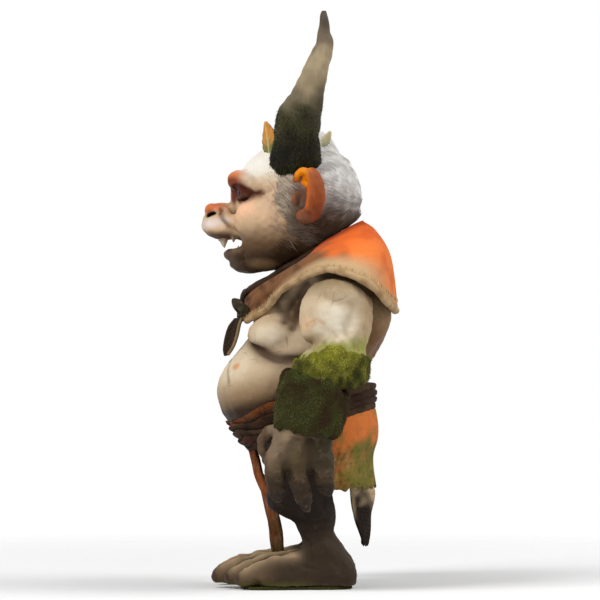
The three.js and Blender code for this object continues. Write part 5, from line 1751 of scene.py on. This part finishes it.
def make_cuffs():
    """Mossy cuffs: ragged oval sleeves over the wrists, lower in front at the top."""
    angle = circle(72)
    over = np.cross(CUFF_DOWN, (1, 0, 0))
    ragged = 1.3 * np.sin(5 * angle + 0.6) + 0.9 * np.sin(11 * angle + 2)
    ragged = ragged + 0.6 * np.sin(17 * angle)
    dip = 7 * hump(np.angle(np.exp(1j * (angle - 4.9))), 0.85)
    rings = []
    for share, size in CUFF_OUTSIDE + CUFF_INSIDE:
        along = share * CUFF_LENGTH + (ragged * 0.8 + dip) * ease(0.3, 0, share)
        along = along + ragged * ease(0.7, 1, share) * 0.7
        lumps = 1 + 0.02 * np.sin(9 * angle + 6 * share) + 0.035 * np.sin(4 * angle - 9 * share)
        lumps = lumps + 0.02 * np.sin(14 * angle + 11 * share)
        spot = CUFF_TOP + along[:, None] * CUFF_DOWN
        spot = spot + (CUFF_HALF_WIDTH * size * lumps * np.cos(angle))[:, None] * (1, 0, 0)
        rings.append(spot + (CUFF_HALF_DEPTH * size * lumps * np.sin(angle))[:, None] * over)
    points = np.vstack(rings)
    faces = grid_faces(len(rings), len(angle), loop_rows=True, loop_columns=True)[:, ::-1]
    shape = points, faces
    ring = np.repeat(np.arange(len(rings)), len(angle))
    inside = ring > len(CUFF_OUTSIDE)
    patches = 0.5 * ripple(points, 11, 83) + 0.35 * ease(4, 16, points[:, 1])
    tone = np.clip(0.25 + patches, 0, 1)
    coat = Coat(points, "#3a3f1c")
    coat.wash("#35281a", tone)
    # Painted shade inside the cuff
    coat.wash("#15150b", 0.8 * inside)
    growth = (ring >= 2) * ~inside * ease(-0.9, 0.3, ripple(points, 5, 82))
    comb = combed(points, faces, (0, -0.1, -1))
    slot = "dark_moss"
    for side, sign in SIDES:
        body, node = f"{side}_arm", f"{side}_cuff"
        show(f"{side}_cuff_ground", shape, coat, MOSS_GROUND, body, node, sign)
        tufts(
            f"{side}_cuff_moss", shape, growth, comb, DARK_MOSS, body, slot, 17, sign, tone,
            per_area=380, length=1.0, rise=0.45, droop=0.2, width=0.26, spread=0.9, tilt=0.45,
        )


# Rows of x from the cuff's middle, y, z and one or two radii
PALM = [
    (0, 3.8, 82, 9.5, 11), (0.5, 1.5, 74, 8.6, 14.6), (1.2, 0.5, 67, 7.2, 15.6),
    (1.6, 0.3, 62.5, 5.2, 14.6),
]
FINGERS = [
    [(2, -12, 65, 5.2), (4, -12, 58, 5.4), (3, -11.4, 51, 4.6), (1.4, -11, 47, 2.4)],
    [(2, -0.8, 64, 5.6), (4.4, 0.2, 55, 5.5), (3.4, 2, 47.5, 4.5), (2, 3.4, 42.4, 2.4)],
    [(1, 11, 64, 5.4), (2.6, 11.8, 57.5, 5.3), (1.6, 13.2, 52.5, 4.2), (0.4, 14.4, 49.8, 2.2)],
]
THUMB = [
    (-2, -9, 81, 3.6), (-3.5, -15.2, 79.6, 2.9), (-4, -18.5, 75.4, 2.5), (-3.6, -18.4, 70, 2.3),
    (-3, -16.8, 65.5, 1.9), (-2.8, -16, 63, 1.2),
]
FINGER_GAPS = (-6.4, 5.6)
HAND_TOP = 17.7


def above(form, level):
    """The part of a form above a level."""

    def distance(x, y, z):
        return np.maximum(form.distance(x, y, z), level - z)

    return Form(form.low, form.high, distance)


def beside_cuff(rows):
    """Rows of the hand moved out to the cuff's middle."""
    return [(CUFF_X + row[0], *row[1:]) for row in rows]


def jointed(rows):
    """Rows of a finger with slimmer rows added between its joints."""
    slim = []
    for a, b in zip(rows, rows[1:]):
        between = [(p + q) / 2 for p, q in zip(a, b)]
        between[3] *= 0.88
        slim += [a, between]
    return slim + [rows[-1]]


def gap_between(y):
    """The valley on the back of the hand that runs down between two fingers."""
    return [(67.5, 1 + 0.7 * y, 76), (67, y, 68), (65.5, y, 61), (64, y + 0.4, 57)]


def make_hands():
    """Three-fingered hands with thin thumbs, on a round wrist inside the cuff."""
    clay = Clay((43, -25, 38), (75, 25, 92), 0.5)
    clay.add(above(limb(beside_cuff(PALM), 4), 61))
    fingers = [beside_cuff(rows) for rows in FINGERS]
    clay.add(together([limb(jointed(rows), 4) for rows in fingers]), 3)
    for rows in fingers:
        knuckle, joint, end = (np.array(row[:3]) for row in (rows[0], rows[1], rows[3]))
        clay.add(egg(knuckle + (3.2, 0, 0.6), (3, 3.8, 4)), 2.5)
        clay.add(egg(joint + (2.2, 0, 0.6), (3.4, 4, 3)), 1.8)
        clay.add(egg(end + (1.6, -0.2, 1.6), (1.3, 2, 3)), 0.6)
        wrist = (65.5, 3 + 0.3 * knuckle[1], 79)
        middle = (67.4, 1 + 0.75 * knuckle[1], 72)
        clay.crease([wrist, middle, knuckle + (5.4, 0, 2)], 1.5, -1.0)
        for level in (-0.9, 1.1):
            across = [joint + (4.4, y, level + 0.1 * abs(y)) for y in (-4.6, 0, 4.6)]
            clay.crease(across, 0.7, 0.5)
    clay.add(limb(jointed(beside_cuff(THUMB)), 4), 1.6)
    for y in FINGER_GAPS:
        clay.crease(gap_between(y), 1.6, 2)
    clay.add(rod(down_cuff(HAND_TOP), down_cuff(CUFF_LENGTH + 3), 11.3), 2.5)
    clay.uneven(6, 0.16, 91)
    clay.uneven(2.4, 0.1, 92)
    shape = clay.skin()
    points = shape[0]
    y, z = points[:, 1], points[:, 2]
    coat = Coat(points, "#50402b")
    # Painted highlight on the front of the hand's back and painted shade on its rear
    coat.wash("#806c56", 0.9 * ease(3, -13, y + 0.5 * (72 - z)) * ease(56, 68, z))
    coat.wash("#332c19", 0.9 * ease(0, 11, y) * ease(56, 64, z))
    coat.wash("#2e2117", 0.9 * ease(69, 50, z))
    # Painted highlight by the wrist
    coat.dab("#957f64", (66, -6, 79), (8, 6, 6), 0.8)
    coat.wash("#4a3524", 0.8 * ease(-15, -17, y))
    # Painted shade in the valleys between the fingers
    for gap in FINGER_GAPS:
        coat.stroke("#1f160d", gap_between(gap), 2.2, 0.75)
    for rows in fingers:
        end = np.array(rows[3][:3])
        coat.wash("#1a120c", 0.75 * ease(6, 0, z - end[2]) * ease(6, 4, abs(y - end[1])))
        coat.dab("#54433a", end + (2.8, -0.2, 1.8), (1.4, 1.5, 2.4), 0.6, 0.3)
    hollow = hollows_of(*shape)
    show_pair(
        "{}_hand_casting", shape, coat, TAUPE_CASTING, "{}_hand", "{}_hand", hollow
    )


# Cape, strap and tie

CAPE_RIBS = [
    [(3, -25.5, 147), (5, -27, 143), (6, -26.5, 139), (6, -25.3, 135)],
    [(12, -20, 150.5), (17, -21, 149), (21, -19.5, 145.5), (23, -17.5, 141.5)],
    [(22, -9, 157), (29, -8, 157.5), (36, -6, 156), (40, -4.5, 152.5)],
    [(27, 4, 164.5), (36, 6, 166), (47, 10, 165), (55, 13, 160)],
    [(24.5, 18, 172.4), (34, 22, 173.8), (47, 27, 168), (57, 30, 155)],
    [(15, 28, 178.4), (22, 33, 178), (36, 42, 167), (42, 44.5, 144)],
    [(0, 33, 181), (0, 38, 178.4), (0, 44.5, 166), (0, 47.6, 140)],
]


def cape_grid():
    """Points of the cape, from the neck to the hem and from the right front edge to the left."""
    left = np.array(CAPE_RIBS, float)
    ribs = np.concatenate([left * (-1, 1, 1), left[-2::-1]])
    columns = through(np.array([through(rib, 9).ravel() for rib in ribs]), 10)
    grid = columns.reshape(len(columns), -1, 3).transpose(1, 0, 2)
    around = np.linspace(-0.5, 0.5, grid.shape[1])[None, :]
    drop = np.linspace(0, 1, grid.shape[0])[:, None]
    fold = 1.3 * np.cos(12 * math.pi * around) * drop**2
    fold += 0.35 * np.sin(31 * around + 4 * drop) * drop
    fold += 0.25 * np.sin(57 * around - 6 * drop) * drop
    bunched = ease(0.24, 0.36, abs(around)) * ease(0, 0.2, drop)
    fold += 0.55 * np.sin(17 * drop + 9 * abs(around)) * bunched
    outward = unit((grid - (0, NECK[1], 0)) * (1, 1, 0))
    collar = 3.4 * ease(-2, 16, grid[:, :, 1]) * (1 - drop) ** 4
    return grid + fold[:, :, None] * outward + collar[:, :, None] * NECK_AXIS


def steps_of(grid, axis):
    """How far it is from each point of a cloth to the next one along an axis of its grid."""
    return np.linalg.norm(np.diff(grid, axis=axis), axis=2)


def cloth_map(grid, place):
    """A flat map of a plate in metres, measured along the rows and columns of its grid."""
    rows, columns = grid.shape[:2]
    across, down = np.zeros((2, rows, columns))
    across[:, 1:] = np.cumsum(steps_of(grid, 1), axis=1)
    down[1:] = np.cumsum(steps_of(grid, 0), axis=0)
    r = np.rint(place[:, 1] * (rows - 1)).astype(int)
    c = np.rint(place[:, 0] * (columns - 1)).astype(int)
    return np.stack([across[r, c], down[r, c]], 1) * MM


def declare_sheet(grid):
    """Works out the steps along a cloth's rows and columns, and keeps nothing."""
    right, down = grid[:-1, 1:] - grid[:-1, :-1], grid[1:, :-1] - grid[:-1, :-1]


def make_cape():
    """The felt cape with its hem, stitches and strap."""
    grid = cape_grid()
    shape, place = plate(grid, 2.0)
    points = shape[0]
    around, drop = out_and_down(place)
    count = grid.shape[0] * grid.shape[1]
    lining = np.zeros(len(points))
    lining[count : 2 * count] = 1
    coat = Coat(points, "#e0641c")
    # Orange, lighter low behind (partly painted highlight) and darker near the neck (painted
    # shade); brown in front, pale near the hem and dark inside (painted shade)
    coat.wash("#f5843a", 0.9 * ease(0.3, 0.7, drop) * ease(0.55, 0.25, around))
    coat.wash("#a8380f", 0.85 * ease(0.25, 0.02, drop))
    coat.wash("#d0521a", 0.5 * ease(0.1, 0.8, ripple(points, 16, 98)) * ease(0.5, 0.3, around))
    coat.wash("#7f5839", 0.97 * ease(0.36, 0.56, around + 0.05 * ripple(points, 12, 99)))
    coat.wash("#4a3020", 0.6 * ease(0.2, 0.9, ripple(points, 7, 97)) * ease(0.45, 0.6, around))
    beside = ease(0.08, 0.35, around) * ease(0.8, 0.5, around)
    coat.wash("#c9ab82", 0.95 * ease(0.66, 0.88, drop) * beside)
    coat.wash("#b8956a", 0.9 * ease(0.86, 0.97, drop))
    # Painted shade inside the cape
    coat.wash("#4e3420", 0.9 * lining)
    uv = cloth_map(grid, place)
    cape = show("felt_cape", shape, coat, FELT, "torso", "cape", uv=uv)
    trim = make_binding(grid)
    make_strap(grid)
    declare_sheet(grid)


def edge_line(grid, row, other, distance):
    """A line beside one edge of a cloth, and the way out from that edge."""
    away = unit(grid[row] - grid[other])
    return grid[row] + away * distance, away


def make_binding(grid):
    """The rolled hem of the cape and the stitches that hold it."""
    line, away = edge_line(grid, -1, -2, 0.9)
    steps = np.arange(len(line))
    swell = 1.75 + 0.18 * np.sin(steps * 0.9) + 0.12 * np.sin(steps * 2.3)
    shape = tube(line, swell, 12, hint=away[0])
    coat = Coat(shape[0], "#c3a47b")
    coat.wash("#8d6b45", 0.6 * ease(0.2, -0.6, ripple(shape[0], 7, 101)))
    hem = show("cape_hem", shape, coat, HEM, "torso", "cape_binding")
    outward = unit(np.cross(np.gradient(line, axis=0), away))
    seam = grid[-3] + outward * 1.15
    sizes = {"step": 3.2, "length": 2.6, "width": 0.5, "slant": 0.35}
    return hem, stitching("cape_stitches", seam, away, THREAD, "torso", "hem", **sizes)


# The highest that the strap may reach along the neck's axis, so that the head turns free
HEAD_CLEARANCE = 3.9


def make_strap(grid):
    """The dark rolled strap along the neck edge of the cape."""
    _, away = edge_line(grid, 0, 1, 0)
    normal = unit(np.cross(np.gradient(grid[1], axis=0), away))
    normal *= np.sign(normal[:, 2:])
    front = ease(14, -4, grid[0][:, 1])[:, None]
    line = grid[0] + away * (1.2 - 1.8 * front) + normal * 1.8 * front
    front = np.concatenate([[1], front[:, 0], [1]])
    line = np.vstack([[(-2.6, -28.2, 141.6)], line, [(2.6, -28.2, 141.6)]])
    steps = np.arange(len(line))
    thick = 1.2 + 1.3 * front + 0.2 * np.sin(steps * 0.8) + 0.12 * np.sin(steps * 1.9 + 1)
    over = (line - NECK) @ NECK_AXIS + 1.1 * thick - HEAD_CLEARANCE
    line = line - np.maximum(over, 0)[:, None] * NECK_AXIS

    def twisted(rows, angle):
        return 1 + 0.1 * np.sin(2 * angle + rows[:, None] * 0.55)

    shape = tube(line, thick, 14, hint=away[0], shape=twisted)
    coat = Coat(shape[0], "#22150c")
    coat.wash("#3f2718", 0.6 * ease(-0.2, 0.7, ripple(shape[0], 9, 103)))
    show("collar_strap", shape, coat, LEATHER, "torso", "neck_strap")


TIE_LOOP = [
    (3.2, -29, 137.8), (5.5, -32, 140.8), (9, -33, 142.6), (11.5, -30.5, 142.2),
    (11, -27.8, 139.4), (7, -27.2, 137), (3.4, -28.6, 136.6),
]
TIE_TAIL = [
    (3.2, -30, 135.4, 2.4), (4.4, -32, 131.6, 3.2), (5, -33.4, 126, 3.5), (5.3, -35, 120.5, 2.8),
    (5.5, -36.6, 116.8, 1),
]


def make_tie():
    """The leather tie at the throat: a knot, a bow and two ends."""
    clay = Clay((-6, -34, 131), (6, -23, 144), 0.4, mirrored=True)
    clay.add(egg((0, -29, 137.6), (4.2, 2.9, 4)))
    clay.crease([(-4, -31.5, 140), (0, -32.2, 137.5), (4, -31.5, 135.5)], 0.8, 0.7)
    clay.crease([(2, -31.8, 141), (1.5, -32, 138), (2.4, -31.8, 134.5)], 0.6, 0.5)
    clay.uneven(3, 0.15, 111)
    shape = clay.skin()
    coat = Coat(shape[0], "#241a13")
    show("throat_knot", shape, coat, LEATHER, "torso", "tie_knot")
    loop = through(TIE_LOOP, 8)
    band = tube(loop, np.tile((1.0, 2.8), (len(loop), 1)), 12, hint=(0, -1, 0))
    loop_coat = Coat(band[0], "#352d20")
    loop_coat.wash("#55533a", 0.6 * ease(0, 0.8, ripple(band[0], 5, 112)))
    tail_rows = through(TIE_TAIL, 7)
    side = np.linspace(-1, 1, 11)[None, :, None]
    spine, half = tail_rows[:, None, :3], tail_rows[:, None, 3:]
    grid = spine + side * half * (0.5, 0.85, 0.15) + (0.5, -0.3, 0) * half * side**2
    tail, place = plate(grid, 1.5)
    tail_coat = Coat(tail[0], "#2c2016")
    tail_coat.wash("#8f7655", 0.85 * ease(0.86, 0.99, place[:, 0]))
    halves = (("bow", "loop", band, loop_coat), ("end", "tail", tail, tail_coat))
    for side, sign in SIDES:
        for name, node, form, paint in halves:
            node = f"{side}_tie_{node}"
            show(f"{side}_tie_{name}", form, paint, LEATHER, "torso", node, sign)


# Sash and loincloth

TRUNK_FINE = through(sorted(TRUNK), 8)


def round_trunk(angle, z, out):
    """Points round the trunk at given levels, pushed out from its surface."""
    front, back, half = (np.interp(z, TRUNK_FINE[:, 0], TRUNK_FINE[:, k]) for k in (1, 2, 3))
    x = (half + out) * np.cos(angle)
    y = (front + back) / 2 + ((back - front) / 2 + out) * np.sin(angle)
    return np.stack([x, y, z], -1)


SASH_LAPS = 4


def make_sash():
    """A long cloth wound round the waist: four laps side by side, creased and twisted in front."""
    angle = circle(240)
    turn, across = np.meshgrid(angle, np.linspace(-0.5, 0.5, 61), indexing="ij")
    y = round_trunk(turn, np.full(turn.shape, sash_level(0)), 0)[..., 1]
    front = ease(-6, -30, y)
    sway = 0.5 * np.sin(2 * turn + 1) + 0.3 * np.sin(5 * turn)
    twist = 0.5 * np.sin(3 * turn + 2) + 0.25 * np.sin(8 * turn + 5 * across)
    lap = SASH_LAPS * (across + 0.5) + 0.2 * sway + front * twist
    roll = np.sin(math.pi * (lap % 1)) ** (0.3 + 0.35 * front)
    height = 1.5 + 0.4 * np.sin(2.1 * np.floor(lap) + 3 * turn)
    crease = 0.14 * np.sin(33 * turn + 7 * lap) + 0.35 * front * np.sin(14 * turn + 11 * across)
    out = 3.5 + roll * (height + crease) - 2.2 * (abs(across) > 0.49)
    out = out + front * (1.2 * ease(0.1, -0.4, across) - 2.2 * ease(0.1, 0.45, across))
    z = sash_level(y) + across * SASH_WIDTH + 0.4 * np.sin(7 * turn) * (across + 0.5)
    z = z + 3.8 * hump(y + 12, 9) * ease(0, 0.5, across)
    corner = hump(turn - 1.5 * math.pi, 0.5) * ease(-14, -34, y)
    z = z + 4.4 * corner * np.minimum(across, 0)
    outer = round_trunk(turn, z, out)
    inner = round_trunk(turn[:, ::-1], z[:, ::-1], np.full(z.shape, -1.2))[:, ::6]
    ring = np.concatenate([outer, inner], axis=1)
    points = ring.reshape(-1, 3)
    faces = grid_faces(*ring.shape[:2], loop_rows=True, loop_columns=True)[:, ::-1]

    def with_inside(values, hidden):
        return np.concatenate([values, np.full(inner.shape[:2], hidden)], axis=1).ravel()

    y = points[:, 1]
    coat = Coat(points, "#3a281b")
    light_laps = with_inside(np.sin(2.1 * np.floor(lap) + turn), 0)
    coat.wash("#4d3a28", 0.6 * ease(0.2, 0.9, light_laps))
    # Painted shade in the valleys between the laps
    coat.wash("#120a06", 0.9 * ease(0.6, 0.2, with_inside(roll, 1)))
    upper = ease(0.22, 0.42, with_inside(across, 0)) * ease(-2, -14, y)
    coat.wash("#74401f", 0.85 * upper)
    coat.wash("#5a2a1c", 0.5 * ease(0.3, 0.9, ripple(points, 8, 118)) * ease(-8, -20, y))
    round_map, across_map = angle * 0.036, np.linspace(0, 0.02, ring.shape[1])
    uv = np.stack(np.meshgrid(round_map, across_map, indexing="ij"), -1).reshape(-1, 2)
    shape = points, faces
    sash = show("wound_sash", shape, coat, SASH_CLOTH, "torso", "sash", uv=uv)
    declare_sheet(outer)


CLOTH_MIDDLE_Y, CLOTH_FOOT, CLOTH_REACH = 6, 50.5, math.radians(74)
# Rows of level, back and half width
CLOTH_BACK = [
    (93, 37.2, 36), (82, 38.7, 35.5), (74.5, 38.3, 34.5), (67, 36, 33), (60, 35.8, 32.5),
    (CLOTH_FOOT, 37, 33.5),
]


def make_loincloth():
    """The back panel: a stained cloth hung from the sash in shallow folds, frayed below."""
    sweep = np.linspace(-CLOTH_REACH, CLOTH_REACH, 97)
    turn, drop = np.meshgrid(sweep, np.linspace(0, 1, 49))
    levels = through(sorted(CLOTH_BACK), 8)
    top = sash_level(CLOTH_MIDDLE_Y + 32.7 * np.cos(turn)) - SASH_WIDTH / 2 + 3.5
    ragged = 0.7 * np.sin(9 * turn + 1) + 0.6 * np.sin(23 * turn) + 0.4 * np.sin(41 * turn + 1)
    z = top + (CLOTH_FOOT + ragged - top) * drop
    back, half = (np.interp(z, levels[:, 0], levels[:, k]) for k in (1, 2))
    fold = 1.1 * drop * np.cos(7 * turn) + 0.25 * drop * np.sin(17 * turn + 3 * drop)
    fold = fold - 3.4 * ease(0.13, 0.02, drop)
    x = (half + fold) * np.sin(turn)
    y = CLOTH_MIDDLE_Y + (back - CLOTH_MIDDLE_Y + fold) * np.cos(turn)
    grid = np.stack([x, y, z], -1)
    shape, place = plate(grid, 1.3)
    points = shape[0]
    _, y, z = points.T
    coat = Coat(points, "#a8693a")
    # Orange above, an olive band behind, then stains towards the foot
    coat.wash("#d8783a", 0.95 * ease(66, 80, z + 0.35 * (y - 28) + 5 * ripple(points, 15, 121)))
    band = ease(-3, 5, y - 25 - 0.35 * (z - 60) + 4 * ripple(points, 15, 124))
    band = band * ease(80, 68, z + 4 * ripple(points, 13, 126))
    coat.wash("#6c6b2c", 0.92 * band)
    pale = ease(0, 0.8, ripple(points, 8, 122)) * ease(72, 62, z)
    coat.wash("#a98c50", 0.8 * pale * (1 - 0.7 * band))
    rusty = ease(0.1, 0.8, ripple(points, 5, 123)) * ease(74, 62, z)
    coat.wash("#7d4620", 0.7 * rusty * (1 - band))
    coat.wash("#4f4a22", 0.7 * ease(0.3, 1, ripple(points, 4, 125)) * ease(76, 66, z))
    coat.wash("#5d5226", 0.6 * ease(54, CLOTH_FOOT, z))
    uv, name = cloth_map(grid, place), "loincloth_back_panel"
    panel = show(name, shape, coat, OLIVE_CLOTH, "torso", "loincloth_back", uv=uv)
    declare_sheet(grid)


# Rows of level, Y, half width and curl of the edges
CLOTH_FRONT = [
    (75, -29.5, 10, 1.5), (70, -25, 10, 2), (57, -22.1, 10, 4),
    (44.5, -17.6, 9.8, 5.6), (29.5, -15, 8.8, 6.4), (17, -13.5, 7, 6.2),
]
BACK_TAIL = [
    (56, 34.6, 7, 9), (47.5, 37.2, 6.8, 11.5), (36, 35.8, 5, 8), (28, 35, 4, 5),
    (21.5, 34.2, 2.2, 2.4),
]
STRIP_WAVE = 0.3


def hanging_strip(rows, way, pleat=0.0, split=0.0):
    """A strip of cloth with edges curled to one side, rippled, pleated and torn at its end."""
    fine = through(rows, 9)
    side = np.linspace(-1, 1, 33)[None, :]
    drop = np.linspace(0, 1, len(fine))[:, None]
    z, face, half, curl = (fine[:, k : k + 1] for k in range(4))
    frays = 0.05 * np.sin(z * 0.9 + 2 * side) + 0.04 * np.sin(z * 2.1 - 3 * side)
    frayed = 1 + drop * frays * abs(side)
    pleats = pleat * np.cos(3 * math.pi * side + 0.6 * np.sin(z * 0.12)) * ease(0, 0.3, drop)
    waves = STRIP_WAVE * np.sin(side * 7 + z * 0.3)
    y = face + way * curl * np.abs(side) ** 1.7 + waves + pleats
    torn = 0.7 * np.sin(side * 9) + 0.5 * np.sin(side * 23) + split * hump(side - 0.25, 0.2)
    return np.stack([side * half * frayed, y, z + torn * drop**4], -1)


def make_front_strip():
    """The pleated front strip of the loincloth, split at its foot."""
    grid = hanging_strip(CLOTH_FRONT, 1, pleat=0.9, split=4.5)
    shape, place = plate(grid, 1.3)
    points = shape[0]
    side, drop = out_and_down(place)
    streaked = points * (1, 1, 0.25)
    coat = Coat(points, "#97532c")
    coat.wash("#5f381f", 0.8 * ease(0.4, 0.8, drop))
    coat.wash("#3d2b19", 0.85 * ease(0.55, 0.95, side) * ease(0.3, 0.6, drop))
    coat.wash("#472c18", 0.7 * ease(0.1, 0.8, ripple(streaked, 4, 131)))
    coat.wash("#b9805a", 0.35 * ease(0.3, 0.9, ripple(streaked, 3, 132)))
    coat.wash("#4a4420", 0.7 * ease(0.8, 1, drop))
    uv, name = cloth_map(grid, place), "loincloth_front_strip"
    strip = show(name, shape, coat, RUST_CLOTH, "torso", "loincloth_front", uv=uv)
    declare_sheet(grid)


def make_back_tail():
    """The torn leather strip that hangs behind."""
    grid = hanging_strip(BACK_TAIL, -1)
    shape, place = plate(grid, 1.5)
    points = shape[0]
    side, drop = out_and_down(place)
    coat = Coat(points, "#20160f")
    torn = drop + 0.08 * ripple(points, 7, 141) + 0.012 * (36 - points[:, 1])
    coat.wash("#c2a886", 0.95 * ease(0.48, 0.18, torn))
    coat.wash("#8d8345", 0.85 * ease(0.24, 0.1, torn))
    coat.wash("#b39a76", 0.85 * ease(0.9, 0.99, side) * ease(0.62, 0.4, drop))
    uv = cloth_map(grid, place)
    tail = show("back_tail_strip", shape, coat, LEATHER, "torso", "back_tail", uv=uv)
    declare_sheet(grid)


# Building the figure

make_torso()
make_legs()
make_soles()
head_shape = make_head()
make_eyes()
make_fangs()
make_ears()
make_horns()
make_hair(head_shape)
make_leaves()
make_arms()
make_sleeves()
make_cuffs()
make_hands()
make_cape()
make_tie()
make_sash()
make_loincloth()
make_front_strip()
make_back_tail()

HIDDEN = {"peg": STEEL, "bush": BRASS, "washer": WASHER_HIDE, "dowel": BEECH}
for name, node in frame["nodes"].items():
    kind = name.split("_")[-1]
    if kind in HIDDEN:
        node.data.materials.clear()
        node.data.materials.append(HIDDEN[kind])

# Studio: floor, light and camera


FLOOR_REACH = 0.8
AIM = Vector((0, 0, 0.16))
# Rows of name, place, size and watts
LAMPS = [
    ("key", (0.7, -0.75, 1.15), 0.6, 15),
    ("fill", (1.4, 0.5, 0.45), 1.2, 3),
    ("back", (0.1, 1.0, 1.0), 0.8, 11),
]


def make_lamps():
    """Three soft lamps aimed at the figure."""
    for name, place, size, watts in LAMPS:
        lamp = bpy.data.lights.new(name, "AREA")
        lamp.size, lamp.energy = size, watts
        holder = placed(name, lamp)
        holder.location = place
        holder.rotation_euler = (AIM - Vector(place)).to_track_quat("-Z", "Y").to_euler()


def make_floor():
    """A pale floor that fades out round the figure."""
    mesh = bpy.data.meshes.new("floor")
    square = ((-1, -1), (1, -1), (1, 1), (-1, 1))
    corners = [(x * FLOOR_REACH, y * FLOOR_REACH, 0) for x, y in square]
    mesh.from_pydata(corners, [], [(0, 1, 2, 3)])
    pale = Finish("pale_floor")
    away = pale.node("ShaderNodeVectorMath", {"operation": "LENGTH"}, {0: pale.place}, output=1)
    fade = pale.between(away, 0.55, 0.12)
    mesh.materials.append(pale.surface(Base_Color=(0.9, 0.9, 0.9, 1), Roughness=0.9, Alpha=fade))
    placed("floor", mesh)


def make_sky():
    """White where the camera or a mirror looks, and a dim light on everything else."""
    world = bpy.data.worlds.new("studio")
    bpy.context.scene.world = world
    world.use_nodes = True
    sky = NodeTree(world.node_tree)
    rays = world.node_tree.nodes.new("ShaderNodeLightPath").outputs
    camera, glossy, clear = (
        Wire(sky, rays[f"Is {kind} Ray"]) for kind in ("Camera", "Glossy", "Transmission")
    )
    background = world.node_tree.nodes["Background"]
    background.inputs["Color"].default_value = (1, 1, 1, 1)
    seen = (camera + glossy + clear).clipped()
    sky.plug(background.inputs["Strength"], 0.26 + 0.74 * seen)


CAMERA_DISTANCE, PICTURE_WIDTH = 2.4, 0.303


def make_camera():
    """Level with the middle of the figure, on its left; the picture's width is at the figure."""
    camera = bpy.data.cameras.new("camera")
    camera.sensor_width = 36
    camera.lens = camera.sensor_width * CAMERA_DISTANCE / PICTURE_WIDTH
    holder = placed("camera", camera)
    holder.location = (CAMERA_DISTANCE, 0.00025, 0.1445)
    holder.rotation_euler = (math.pi / 2, 0, math.pi / 2)
    bpy.context.scene.camera = holder


make_floor()
make_sky()
make_lamps()
make_camera()
bpy.context.scene.view_settings.view_transform = "Standard"
